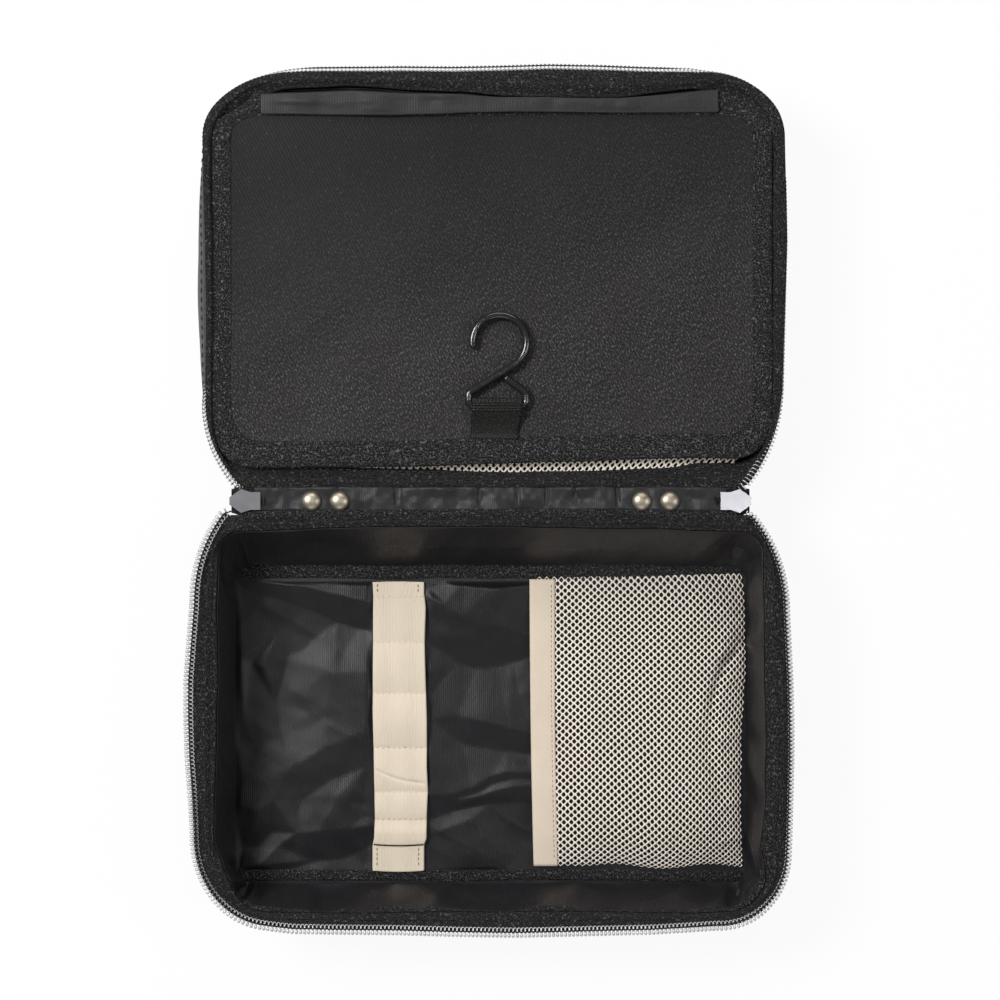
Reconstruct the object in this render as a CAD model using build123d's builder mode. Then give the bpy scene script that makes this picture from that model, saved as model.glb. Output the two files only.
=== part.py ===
"""Hanging cosmetic case, lying open flat: a base half, a lid half and the soft spine between them.

+Z is up and the spine runs along X. The base half lies towards -Y and the lid half towards +Y.
The origin is under the middle of the spine, on the surface that the case lies on.
All sizes are in millimetres.
"""
from build123d import *
from math import asin, atan2, degrees, sqrt
import os

os.makedirs("parts", exist_ok=True)

# The two halves, measured over the zip chain and from the surface up to the sewn edge of the walls
case_width = 240.0
half_length = 170.0
gusset_height = 34.0
zip_rise = 6.0
corner_radius = 28.0
zip_flare = 6.0

# How far each wall leans in from its sewn edge down to the floor
lean_side = 2.0
lean_front = 6.0
lean_spine = 22.0

# Layers of the walls and floor
shell_thickness = 1.2
padding_thickness = 2.5
board_thickness = 1.2
lining_thickness = 0.8
ply_gap = 0.1
board_border = 4.0

# Zip and edge bindings
tape_thickness = 1.0
chain_width = 3.0
chain_height = 1.45
chain_overhang = 0.8
rim_gap = 0.15
zip_start = 7.4
rim_binding_thickness = 0.8
rim_binding_lap = 0.8
floor_binding_width = 5.0
floor_binding_thickness = 1.0

# Elastic band with its brush loops, sewn across the base floor
band_centre_x = -38.5
band_width = 23.0
band_thickness = 1.0
band_rise = 2.2
band_first_tab = 6.4
band_loops = (19.0, 21.5, 23.0, 18.5, 11.5, 11.4)
stitch_flat = 0.6

# Net pocket on the base floor, open towards the elastic band
pocket_mouth_x = 17.0
pocket_binding_width = 10.6
pocket_rise = 8.0
pocket_slope = 6.0
net_thickness = 0.8
pocket_binding_extra = 0.5

# Net pocket in the lid
lid_net_level = 31.0
lid_pocket_depth = 93.0
lid_pocket_binding_width = 10.0
fit_gap = 0.3

# Spine strip, its rivets and the carry handle under it
strip_length = 184.0
strip_fabric_thickness = 1.0
stiffener_thickness = 0.8
strip_lining_thickness = 0.6
strip_side_gap = 0.3
rivet_inner_x = 61.8
rivet_pitch = 11.5
rivet_post_radius = 1.6
rivet_cap_radius = 3.8
rivet_cap_height = 1.9
rivet_hole_gap = 0.05
handle_width = 11.0
handle_thickness = 2.0
handle_drop = 16.0
handle_end = 6.0
handle_bend_start = 9.0
handle_bend_run = 16.0
handle_bend_radius = 9.0

# Zip sliders, each with its bail and pull tab, and the joined stub of chain that they park on
slider_length = 12.6
slider_nose_width = 7.2
slider_shoulder_width = 9.7
slider_tip_width = 3.0
slider_plate = 1.1
slider_channel = 2.6
slider_offset = 2.0
slider_travel = 4.0
post_width = 1.8
post_length = 3.0
stub_width = 4.6
stub_thickness = 1.9
stub_grip = 0.4
bail_width = 2.0
bail_opening = 4.8
bail_clear = 2.3
bail_wire = 1.2
pull_length = 24.0
pull_width = 7.0
pull_thickness = 1.4
pull_bar_radius = 0.75
pull_slot_length = 5.4
pull_slot_width = 3.2
pull_hole_radius = 1.6

# Hanging flap over the lid
flap_side_gap = 0.4
flap_lower_gap = 5.2
flap_fold_reach = 5.0
flap_front_thickness = 0.6
flap_board_thickness = 1.6
flap_back_thickness = 0.6
flap_binding_thickness = 0.5
flap_binding_width = 7.3
flap_top = 36.0
flap_axis_rise = 3.0
fold_strip_length = 185.0
fold_strip_thickness = 0.7

# Wire hook and the webbing loop that holds it
hook_centre_x = 2.8
hook_wire = 3.0
hook_bow_radius = 11.0
hook_bow_above_base = 25.7
hook_bow_shift = 0.9
hook_tip_turn = 12.7
hook_shoulder_width = 23.4
hook_shoulder_height = 4.9
hook_neck_reach = 15.0
hook_end_reach = 2.3
hook_corner_radius = 2.0
hook_leg_gap = 0.3
webbing_width = 19.0
webbing_thickness = 1.0
webbing_sewn = 4.0
webbing_length = 13.0
loop_clearance = 0.25
hook_base_from_edge = 22.3

# Places worked out from the sizes above
spine_half = zip_rise
rim_top = gusset_height + zip_rise - rim_gap
chain_bottom = rim_top - chain_height
board_level = shell_thickness + padding_thickness
lining_level = board_level + board_thickness
floor_level = lining_level + lining_thickness
padding_inset = shell_thickness + ply_gap
lining_inset = padding_inset + padding_thickness + ply_gap
wall = lining_inset + lining_thickness
sewn_front = spine_half + half_length - zip_flare


def half_section(height, inset):
    """Width, length, middle Y and corner radius of the base half at one height, drawn in by inset."""
    lean = 1 - height / gusset_height
    width = case_width - 2 * (zip_flare + lean_side * lean + inset)
    spine_y = -(spine_half + lean_spine * lean + inset)
    front_y = -(sewn_front - lean_front * lean - inset)
    return width, spine_y - front_y, (spine_y + front_y) / 2, corner_radius - zip_flare - inset


def draw_half(height, inset, mode=Mode.ADD):
    """Draw the base half's outline at one height."""
    width, length, middle_y, radius = half_section(height, inset)
    with Locations((0, middle_y)):
        RectangleRounded(width, length, radius, mode=mode)


def draw_rim(inset, mode=Mode.ADD):
    """Draw the outline of the zip chain, drawn in by inset."""
    with Locations((0, -spine_half - half_length / 2)):
        RectangleRounded(case_width - 2 * inset, half_length - 2 * inset, corner_radius - inset, mode=mode)


def half_outline(height, inset):
    """The base half's outline at one height, as a sketch at that height."""
    with BuildSketch(Plane.XY.offset(height)) as outline:
        draw_half(height, inset)
    return outline.sketch


def fill_half(inset, bottom, mode=Mode.ADD):
    """Add or cut the leaning block between one level and the sewn edge."""
    loft([half_outline(bottom, inset), half_outline(gusset_height, inset)], ruled=True, mode=mode)


def inner_half_width(height):
    """Half the width between the lining's walls at one height."""
    return half_section(height, wall)[0] / 2


def inner_spine_y(height):
    """How far the lining's spine wall stands from the spine's middle at one height."""
    width, length, middle_y, radius = half_section(height, wall)
    return -(middle_y + length / 2)


def inner_front_y(height):
    """How far the lining's front wall stands from the spine's middle at one height."""
    width, length, middle_y, radius = half_section(height, wall)
    return -(middle_y - length / 2)


# Base half: outer shell, padding, board and lining, each one nested in the last
with BuildPart() as base_shell:
    fill_half(0, 0)
    fill_half(shell_thickness, shell_thickness, mode=Mode.SUBTRACT)

with BuildPart() as base_padding:
    fill_half(padding_inset, shell_thickness)
    fill_half(padding_inset + padding_thickness, board_level, mode=Mode.SUBTRACT)

with BuildPart() as base_board:
    with BuildSketch(Plane.XY.offset(board_level)):
        draw_half(board_level, padding_inset + padding_thickness + board_border)
    extrude(amount=board_thickness)

with BuildPart() as base_lining:
    fill_half(lining_inset, lining_level)
    fill_half(wall, floor_level, mode=Mode.SUBTRACT)

with BuildPart() as base_rim_binding:
    with BuildSketch(Plane.XY.offset(gusset_height)):
        draw_half(gusset_height, tape_thickness + ply_gap)
        draw_half(gusset_height, wall + rim_binding_lap, mode=Mode.SUBTRACT)
    extrude(amount=rim_binding_thickness)

# Two strips that bind the floor seam along the spine wall and the front wall
floor_spine_edge = inner_spine_y(floor_level) + fit_gap
floor_front_edge = inner_front_y(floor_level) - fit_gap
floor_strip_length = 2 * (inner_half_width(floor_level) - half_section(floor_level, wall)[3])

with BuildPart() as base_floor_binding:
    with BuildSketch(Plane.XY.offset(floor_level)):
        for edge_y in (floor_spine_edge + floor_binding_width / 2, floor_front_edge - floor_binding_width / 2):
            with Locations((0, -edge_y)):
                Rectangle(floor_strip_length, floor_binding_width)
    extrude(amount=floor_binding_thickness)

# Zip tape, sewn to the wall's top edge and flaring out to the chain. It stops short of the spine,
# where the slider parks.
zip_end_plane = Plane.XZ.offset(spine_half + zip_start)

with BuildPart() as base_zip_tape:
    for inset, mode in ((0, Mode.ADD), (tape_thickness, Mode.SUBTRACT)):
        with BuildSketch(Plane.XY.offset(gusset_height)):
            draw_half(gusset_height, inset)
        with BuildSketch(Plane.XY.offset(chain_bottom)):
            draw_rim(chain_overhang + inset)
        loft(ruled=True, mode=mode)
    split(bisect_by=zip_end_plane, keep=Keep.TOP)

with BuildPart() as base_zip_chain:
    with BuildSketch(Plane.XY.offset(chain_bottom)):
        draw_rim(0)
        draw_rim(chain_width, mode=Mode.SUBTRACT)
    extrude(amount=chain_height)
    split(bisect_by=zip_end_plane, keep=Keep.TOP)

# The room on the floor between the two seam strips
floor_top_y = floor_spine_edge + floor_binding_width + ply_gap
floor_bottom_y = floor_front_edge - floor_binding_width - ply_gap

# Elastic band: a flat tab, a row of shallow loops with a stitch line between them, and a flat tab
band_stitches = [floor_top_y + band_first_tab + sum(band_loops[:i]) for i in range(len(band_loops) + 1)]

with BuildPart() as brush_band:
    with BuildSketch(Plane(origin=(band_centre_x, 0, floor_level), x_dir=(0, -1, 0), z_dir=(-1, 0, 0))):
        with Locations(((floor_top_y + floor_bottom_y) / 2, band_thickness / 2)):
            Rectangle(floor_bottom_y - floor_top_y, band_thickness)
        for near, far in zip(band_stitches, band_stitches[1:]):
            for foot, mode in ((0, Mode.ADD), (stitch_flat, Mode.SUBTRACT)):
                base_level = 0 if foot else band_thickness
                with BuildLine():
                    start, end = (near + foot, base_level), (far - foot, base_level)
                    ThreePointArc(start, ((near + far) / 2, base_level + band_rise), end)
                    Line(end, start)
                make_face(mode=mode)
    extrude(amount=band_width / 2, both=True)


def pocket_hump(inset, mode=Mode.ADD):
    """Add or cut the low hump that the net pocket forms, with round corners at its far end."""
    centre_y = -(floor_top_y + floor_bottom_y) / 2
    length = floor_bottom_y - floor_top_y - 2 * inset
    radius = half_section(floor_level, wall)[3] - inset
    far_x = inner_half_width(floor_level) - fit_gap - inset
    outlines = []
    for level, slope in ((floor_level, 0), (floor_level + pocket_rise - inset, pocket_slope)):
        with BuildSketch(Plane.XY.offset(level)) as outline:
            with Locations((0, centre_y)):
                RectangleRounded(2 * (far_x - slope), length - 2 * slope, radius - slope)
        outlines.append(outline.sketch)
    loft(outlines, ruled=True, mode=mode)


net_start_x = pocket_mouth_x + pocket_binding_width

with BuildPart() as mesh_pocket:
    pocket_hump(0)
    pocket_hump(net_thickness, mode=Mode.SUBTRACT)
    split(bisect_by=Plane.YZ.offset(net_start_x), keep=Keep.TOP)

with BuildPart() as mesh_pocket_binding:
    pocket_hump(0)
    pocket_hump(net_thickness + pocket_binding_extra, mode=Mode.SUBTRACT)
    split(bisect_by=Plane.YZ.offset(pocket_mouth_x), keep=Keep.TOP)
    split(bisect_by=Plane.YZ.offset(net_start_x - ply_gap), keep=Keep.BOTTOM)

# Lid half: the mirror image of the base half's walls, edges and zip
lid_side = {
    "lid_shell": base_shell.part,
    "lid_padding": base_padding.part,
    "lid_board": base_board.part,
    "lid_lining": base_lining.part,
    "lid_rim_binding": base_rim_binding.part,
    "lid_floor_binding": base_floor_binding.part,
    "lid_zip_tape": base_zip_tape.part,
    "lid_zip_chain": base_zip_chain.part,
}
lid_parts = {}
for lid_name, base_piece in lid_side.items():
    with BuildPart() as lid_piece:
        mirror(base_piece, about=Plane.XZ)
    lid_parts[lid_name] = lid_piece.part

# Net across the lid, sewn in at the spine wall and the side walls, with its mouth towards the zip
lid_pocket_mouth = spine_half + lid_pocket_depth

with BuildPart() as lid_mesh_pocket:
    with BuildSketch(Plane.XY.offset(lid_net_level)):
        draw_half(lid_net_level, wall + fit_gap)
    extrude(amount=net_thickness)
    split(bisect_by=Plane.XZ.offset(lid_pocket_mouth), keep=Keep.BOTTOM)
    mirror(about=Plane.XZ, mode=Mode.REPLACE)

with BuildPart() as lid_mesh_binding:
    with BuildSketch(Plane.XY.offset(lid_net_level)):
        with Locations((0, lid_pocket_mouth + ply_gap + lid_pocket_binding_width / 2)):
            Rectangle(2 * (inner_half_width(lid_net_level) - fit_gap), lid_pocket_binding_width)
    extrude(amount=net_thickness)

# Spine: outer strip, stiffener and lining, with the rivet holes through all three
strip_top = gusset_height + rim_binding_thickness
strip_lining_bottom = strip_top - strip_lining_thickness
stiffener_bottom = strip_lining_bottom - stiffener_thickness
strip_bottom = stiffener_bottom - strip_fabric_thickness
strip_width = 2 * (spine_half - strip_side_gap)
rivet_places = [(side * (rivet_inner_x + i * rivet_pitch), 0) for side in (-1, 1) for i in (0, 1)]


def spine_layer(bottom, thickness, length, width):
    """Add one flat layer of the spine with its rivet holes."""
    with BuildSketch(Plane.XY.offset(bottom)) as layer:
        Rectangle(length, width)
        with Locations(*rivet_places):
            Circle(rivet_post_radius + rivet_hole_gap, mode=Mode.SUBTRACT)
    extrude(layer.sketch, amount=thickness)


with BuildPart() as spine_strip:
    spine_layer(strip_bottom, strip_fabric_thickness, strip_length, strip_width)

with BuildPart() as spine_stiffener:
    spine_layer(stiffener_bottom, stiffener_thickness, strip_length - 2 * board_border, strip_width - 2)

with BuildPart() as spine_lining:
    spine_layer(strip_lining_bottom, strip_lining_thickness, strip_length, strip_width)

# Carry handle: a strap riveted flat under both ends of the strip and bowed down between them
handle_top = strip_bottom
handle_mid = handle_top - handle_thickness / 2
handle_reach = rivet_inner_x + rivet_pitch + handle_end
bow_start = rivet_inner_x - handle_bend_start
bow_low = bow_start - handle_bend_run

with BuildPart() as carry_handle:
    with BuildSketch(Plane.XZ):
        with BuildLine():
            FilletPolyline(
                (-handle_reach, handle_mid),
                (-bow_start, handle_mid),
                (-bow_low, handle_mid - handle_drop),
                (bow_low, handle_mid - handle_drop),
                (bow_start, handle_mid),
                (handle_reach, handle_mid),
                radius=handle_bend_radius,
            )
        trace(line_width=handle_thickness)
    extrude(amount=handle_width / 2, both=True)
    with BuildSketch(Plane.XY.offset(handle_top)):
        with Locations(*rivet_places):
            Circle(rivet_post_radius + rivet_hole_gap)
    extrude(amount=-handle_thickness, mode=Mode.SUBTRACT)


# Rivets: posts with an outer cap under the handle, and the domed caps seen inside the case
rivet_foot = handle_top - handle_thickness

with BuildPart() as dome:
    Cylinder(rivet_cap_radius, rivet_cap_height, align=(Align.CENTER, Align.CENTER, Align.MIN))
    fillet(dome.faces().sort_by(Axis.Z)[-1].edges(), radius=rivet_cap_height * 0.85)

outer_dome = dome.part.mirror(Plane.XY)

with BuildPart() as rivet_posts:
    with Locations(*[(x, y, rivet_foot) for x, y in rivet_places]):
        add(outer_dome)
    with BuildSketch(Plane.XY.offset(rivet_foot)):
        with Locations(*rivet_places):
            Circle(rivet_post_radius)
    extrude(amount=strip_top - rivet_foot)

with BuildPart() as rivet_caps:
    with Locations(*[(x, y, strip_top) for x, y in rivet_places]):
        add(dome.part)

# Zip sliders at the ends of the spine, drawn for the right-hand end
slider_mid = strip_bottom + (strip_top - strip_bottom) / 2
slider_x = strip_length / 2 + slider_offset
slider_under = slider_mid - slider_channel / 2 - slider_plate
post_x = slider_x + slider_length * 0.72
bail_x = slider_x + slider_length / 2
pull_axis_z = slider_under - bail_clear / 2


def draw_slider_plate():
    """Draw one plate of the slider: a narrow nose at the spine and two shoulders that taper to a blunt tip."""
    nose, shoulder, tip = slider_nose_width / 2, slider_shoulder_width / 2, slider_tip_width / 2
    neck_x, shoulder_x, tip_x = slider_x + 4.0, slider_x + slider_length * 0.62, slider_x + slider_length
    with BuildLine() as edge:
        Polyline(
            (slider_x, nose), (neck_x, nose), (shoulder_x, shoulder), (tip_x, tip),
            (tip_x, -tip), (shoulder_x, -shoulder), (neck_x, -nose), (slider_x, -nose), (slider_x, nose),
        )
    make_face(edge.line)


with BuildPart() as slider_right:
    for level in (slider_under, slider_mid + slider_channel / 2):
        with BuildSketch(Plane.XY.offset(level)):
            draw_slider_plate()
        extrude(amount=slider_plate)
    with BuildSketch(Plane.XY.offset(slider_mid - slider_channel / 2)):
        with Locations((post_x, 0)):
            SlotOverall(post_length + post_width, post_width)
    extrude(amount=slider_channel)
    with BuildSketch(Plane.XZ):
        with Locations((bail_x, slider_under)):
            Rectangle(bail_opening + 2 * bail_wire, bail_clear + bail_wire, align=(Align.CENTER, Align.MAX))
            Rectangle(bail_opening, bail_clear, align=(Align.CENTER, Align.MAX), mode=Mode.SUBTRACT)
    extrude(amount=bail_width / 2, both=True)

# Pull tab, hanging from the bail by the bar across its top
with BuildPart() as pull_tab_right:
    with BuildSketch(Plane(origin=(bail_x, 0, pull_axis_z), x_dir=(0, 1, 0), z_dir=(1, 0, 0))):
        with Locations((0, -pull_length / 2)):
            RectangleRounded(pull_width, pull_length, pull_width / 3)
        with Locations((0, -pull_bar_radius - pull_slot_length / 2)):
            Rectangle(pull_slot_width, pull_slot_length, mode=Mode.SUBTRACT)
        with Locations((0, -pull_length + pull_width / 2)):
            Circle(pull_hole_radius, mode=Mode.SUBTRACT)
    extrude(amount=pull_thickness / 2, both=True)
    with BuildSketch(Plane(origin=(bail_x, 0, pull_axis_z), z_dir=(0, 1, 0))):
        Circle(pull_bar_radius)
    extrude(amount=pull_width / 2, both=True)

# Joined stub of chain and tape that runs on from the spine strip, and still reaches into the slider
# when that has run to the end of its travel
stub_reach = slider_travel + stub_grip

with BuildPart() as zip_stub_right:
    with BuildSketch(Plane.XY.offset(slider_mid - stub_thickness / 2)):
        with Locations((strip_length / 2 + (slider_offset + stub_reach) / 2, 0)):
            Rectangle(slider_offset + stub_reach, stub_width)
    extrude(amount=stub_thickness)

with BuildPart() as slider_left:
    mirror(slider_right.part, about=Plane.YZ)

with BuildPart() as pull_tab_left:
    mirror(pull_tab_right.part, about=Plane.YZ)

with BuildPart() as zip_stub_left:
    mirror(zip_stub_right.part, about=Plane.YZ)

# Hanging flap: back fabric, board and front fabric inside an edge binding
flap_axis_y = sewn_front
flap_axis_z = gusset_height + flap_axis_rise
flap_upper_edge = flap_axis_y - zip_flare - flap_fold_reach
flap_lower_edge = spine_half + wall + rim_binding_lap + flap_lower_gap
flap_width = 2 * (case_width / 2 - zip_flare - wall - rim_binding_lap - flap_side_gap)
flap_radius = corner_radius - zip_flare - wall - rim_binding_lap - flap_side_gap
flap_board_top = flap_top - flap_front_thickness
flap_board_bottom = flap_board_top - flap_board_thickness
flap_bottom = flap_board_bottom - flap_back_thickness


def draw_flap(inset, mode=Mode.ADD):
    """Draw the flap's outline, drawn in by inset."""
    length = flap_upper_edge - flap_lower_edge
    with Locations((0, flap_lower_edge + length / 2)):
        RectangleRounded(flap_width - 2 * inset, length - 2 * inset, flap_radius - inset, mode=mode)


with BuildPart() as flap_binding:
    with BuildSketch(Plane.XY.offset(flap_bottom - flap_binding_thickness)):
        draw_flap(0)
        draw_flap(flap_binding_width, mode=Mode.SUBTRACT)
    extrude(amount=flap_top - flap_bottom + 2 * flap_binding_thickness)
    with BuildSketch(Plane.XY.offset(flap_bottom)):
        draw_flap(flap_binding_thickness)
    extrude(amount=flap_top - flap_bottom, mode=Mode.SUBTRACT)

flap_layers = {
    "flap_back": (flap_bottom, flap_back_thickness),
    "flap_board": (flap_board_bottom, flap_board_thickness),
    "flap_front": (flap_board_top, flap_front_thickness),
}
flap_parts = {}
for layer_name, (layer_bottom, layer_thickness) in flap_layers.items():
    with BuildPart() as flap_layer:
        with BuildSketch(Plane.XY.offset(layer_bottom)):
            draw_flap(flap_binding_thickness + ply_gap)
        extrude(amount=layer_thickness)
    flap_parts[layer_name] = flap_layer.part

# Fabric strip that the flap folds on, from the flap's upper edge to the lid's bound edge
fold_strip_bottom = gusset_height + rim_binding_thickness

with BuildPart() as flap_fold_strip:
    with BuildSketch(Plane.XY.offset(fold_strip_bottom)):
        with Locations((0, (flap_upper_edge + ply_gap + flap_axis_y - tape_thickness - ply_gap) / 2)):
            Rectangle(fold_strip_length, flap_axis_y - tape_thickness - flap_upper_edge - 2 * ply_gap)
    extrude(amount=fold_strip_thickness)

# Webbing loop on the flap: it runs up to the hook's base wire, round it and back on itself
wire_radius = hook_wire / 2
hook_base_y = flap_lower_edge + hook_base_from_edge
hook_level = flap_top + webbing_thickness + loop_clearance + wire_radius
loop_inner = wire_radius + loop_clearance
loop_outer = loop_inner + webbing_thickness
webbing_end_y = hook_base_y - webbing_length
sewn_y = webbing_end_y + webbing_sewn

with BuildPart() as webbing_loop:
    with BuildSketch(Plane(origin=(hook_centre_x, 0, 0), x_dir=(0, 1, 0), z_dir=(1, 0, 0))):
        with BuildLine():
            Polyline(
                (hook_base_y, flap_top), (webbing_end_y, flap_top),
                (webbing_end_y, flap_top + 2 * webbing_thickness),
                (sewn_y, flap_top + 2 * webbing_thickness), (hook_base_y, hook_level + loop_outer),
            )
            ThreePointArc(
                (hook_base_y, hook_level + loop_outer), (hook_base_y + loop_outer, hook_level),
                (hook_base_y, flap_top),
            )
        make_face()
        with BuildLine():
            Polyline(
                (hook_base_y, flap_top + webbing_thickness), (sewn_y, flap_top + webbing_thickness),
                (hook_base_y, hook_level + loop_inner),
            )
            ThreePointArc(
                (hook_base_y, hook_level + loop_inner), (hook_base_y + loop_inner, hook_level),
                (hook_base_y, flap_top + webbing_thickness),
            )
        make_face(mode=Mode.SUBTRACT)
    extrude(amount=webbing_width / 2, both=True)

# Hook: one wire, from the tip round the bow, down the long leg, along the base and back up to the neck
hook_foot = Vector(hook_centre_x, hook_base_y, hook_level)
hook_foot_width = webbing_width + 2 * (hook_corner_radius + hook_leg_gap)
shoulder_left, shoulder_right, foot_left, foot_right = (
    hook_foot + Vector(side * width / 2, height)
    for width, height in ((hook_shoulder_width, hook_shoulder_height), (hook_foot_width, 0))
    for side in (-1, 1)
)
bow_centre = hook_foot + Vector(hook_bow_shift, hook_bow_above_base)
to_bow = bow_centre - shoulder_left
leg_angle = degrees(atan2(to_bow.Y, to_bow.X) - asin(hook_bow_radius / to_bow.length))
leg_direction = Vector(1, 0).rotate(Axis.Z, leg_angle)
bow_end = shoulder_left + leg_direction * sqrt(to_bow.length**2 - hook_bow_radius**2)
neck = shoulder_left + leg_direction * hook_neck_reach
wire_end = neck + (shoulder_right - neck).normalized() * hook_end_reach
tip_angle = 180 + hook_tip_turn

with BuildPart() as hook:
    with BuildLine() as wire:
        CenterArc(bow_centre, hook_bow_radius, tip_angle, leg_angle - 90 - tip_angle)
        FilletPolyline(
            bow_end, shoulder_left, foot_left, foot_right, shoulder_right, wire_end, radius=hook_corner_radius
        )
    path = wire.wires()[0]
    with BuildSketch(Plane(origin=path @ 0, z_dir=path % 0)):
        Circle(wire_radius)
    sweep(path=path)
    fillet(hook.faces().filter_by(GeomType.PLANE).edges(), radius=wire_radius * 0.8)

pieces = {
    "base_shell": base_shell.part,
    "base_padding": base_padding.part,
    "base_board": base_board.part,
    "base_lining": base_lining.part,
    "base_rim_binding": base_rim_binding.part,
    "base_floor_binding": base_floor_binding.part,
    "base_zip_tape": base_zip_tape.part,
    "base_zip_chain": base_zip_chain.part,
    "brush_band": brush_band.part,
    "mesh_pocket": mesh_pocket.part,
    "mesh_pocket_binding": mesh_pocket_binding.part,
    **lid_parts,
    "lid_mesh_pocket": lid_mesh_pocket.part,
    "lid_mesh_binding": lid_mesh_binding.part,
    "flap_fold_strip": flap_fold_strip.part,
    "spine_strip": spine_strip.part,
    "spine_stiffener": spine_stiffener.part,
    "spine_lining": spine_lining.part,
    "carry_handle": carry_handle.part,
    "rivet_posts": rivet_posts.part,
    "rivet_caps": rivet_caps.part,
    "zip_stub_left": zip_stub_left.part,
    "zip_stub_right": zip_stub_right.part,
    "slider_left": slider_left.part,
    "slider_right": slider_right.part,
    "pull_tab_left": pull_tab_left.part,
    "pull_tab_right": pull_tab_right.part,
    **flap_parts,
    "flap_binding": flap_binding.part,
    "webbing_loop": webbing_loop.part,
    "hook": hook.part,
}
for piece_name, piece in pieces.items():
    piece.label = piece_name
    export_step(piece, f"parts/{piece_name}.step")

print("flap axis y, z", flap_axis_y, flap_axis_z)
print("hook axis y, z", hook_base_y, hook_level)
print("pull axis x, z", bail_x, pull_axis_z)
print("spine hinge y, z", spine_half, gusset_height)
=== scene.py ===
"""Dresses the hanging cosmetic case: lying open flat, lid half towards +Y, base half towards -Y.

Points are worked out in millimetres and written to the meshes in metres. A half is drawn from above as x and
the distance out from the spine, so the same functions make both halves.
"""
import math

import bmesh
import bpy
import numpy as np
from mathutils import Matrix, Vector
from mathutils.geometry import delaunay_2d_cdt


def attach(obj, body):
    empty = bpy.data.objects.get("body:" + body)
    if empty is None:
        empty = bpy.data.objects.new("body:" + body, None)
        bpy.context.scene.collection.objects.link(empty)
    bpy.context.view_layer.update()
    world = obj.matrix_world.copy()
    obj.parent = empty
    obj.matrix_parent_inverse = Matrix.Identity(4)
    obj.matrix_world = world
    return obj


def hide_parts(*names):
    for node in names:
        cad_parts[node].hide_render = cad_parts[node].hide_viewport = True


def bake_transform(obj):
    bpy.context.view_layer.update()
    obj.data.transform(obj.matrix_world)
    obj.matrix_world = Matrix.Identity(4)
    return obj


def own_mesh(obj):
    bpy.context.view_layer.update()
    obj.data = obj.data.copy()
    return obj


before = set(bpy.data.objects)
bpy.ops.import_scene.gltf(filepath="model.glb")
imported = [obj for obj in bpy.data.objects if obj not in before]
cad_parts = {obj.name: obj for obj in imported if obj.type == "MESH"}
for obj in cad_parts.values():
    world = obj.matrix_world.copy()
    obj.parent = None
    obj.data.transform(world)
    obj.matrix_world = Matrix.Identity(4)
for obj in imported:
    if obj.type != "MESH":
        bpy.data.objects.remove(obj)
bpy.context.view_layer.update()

MM = 0.001
CLOTH_MAP = "Cloth"

# Camera: straight above, over the middle of the open case
EYE_X = 3.9
EYE_Y = 0.4
EYE_HEIGHT = 940.0
LENS = 79.7

camera = bpy.data.objects.new("Camera", bpy.data.cameras.new("Camera"))
camera.data.lens = LENS
camera.data.sensor_width = 36.0
camera.location = (EYE_X * MM, EYE_Y * MM, EYE_HEIGHT * MM)
bpy.context.scene.collection.objects.link(camera)
bpy.context.scene.camera = camera

# Points along each part of a half's outline
RUN_LONG = 110
RUN_SIDE = 78
RUN_TURN = 34

# Zip coil
COIL_PITCH = 1.63
COIL_WIDTH = 3.5
COIL_HALF_HEIGHT = 0.55
COIL_WIRE = 0.34

# The tape's edge comes no nearer to the middle of the spine than this, and the zip runs where it is further out
TAPE_NEAR = 5.7
ZIP_NEAR = 5.75
# From the tape's edge to the heads of the coil, without the wire's own thickness
COIL_REACH = 2.85

# Heights above the table, with the case lying open
PANEL_HEIGHT = 0.25
SEAM_HEIGHT = 5.7
FLOOR_HEIGHT = 6.1
SLIDER_RIM = 34.6
RIM_RISE = 3.9
FLAP_FRONT = 36.3
FLAP_HOOK_PATCH = 36.35
FLAP_BACK = 33.9
SPINE_TOP = 34.8
SPINE_UNDER = 33.9
RIVET_SEAT = 34.55
RIVET_BRIM = 34.75


def smooth(t):
    t = np.clip(t, 0.0, 1.0)
    return t * t * (3 - 2 * t)


def cloud(points, size, seed=0, creased=False):
    """Noise from -1 to 1 at each point, with lumps about that many millimetres across, smooth or in flat facets."""
    q = np.asarray(points, float) / size + 13.7 * (seed + 1)
    cell = np.floor(q).astype(np.int64)
    f = q - cell
    if not creased:
        f = f * f * (3 - 2 * f)
    total = np.zeros(len(q))
    for corner in range(8):
        step = np.array([corner & 1, corner >> 1 & 1, corner >> 2 & 1])
        k = cell + step
        h = (k[:, 0] * 73856093) ^ (k[:, 1] * 19349663) ^ (k[:, 2] * 83492791) ^ (seed * 2654435761)
        h = ((h ^ (h >> 13)) * 1274126177) & 0x7FFFFFFF
        share = np.prod(np.where(step == 1, f, 1 - f), axis=1)
        total += share * ((h >> 8) % 65536 / 32767.5 - 1)
    return total


def noise(x, y, size, seed, creased=False):
    """The same noise from the x and y of points alone, in the shape of their arrays."""
    x, y = np.broadcast_arrays(x, y)
    spot = np.stack([x.ravel(), y.ravel(), 0 * x.ravel()], axis=1)
    return cloud(spot, size, seed, creased).reshape(x.shape)


def unit(v):
    return v / np.maximum(np.linalg.norm(v, axis=-1, keepdims=True), 1e-9)


# Meshes. A shape is its points in millimetres, its faces, and its cloth map or None.
BASE_PIECES = []


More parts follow.
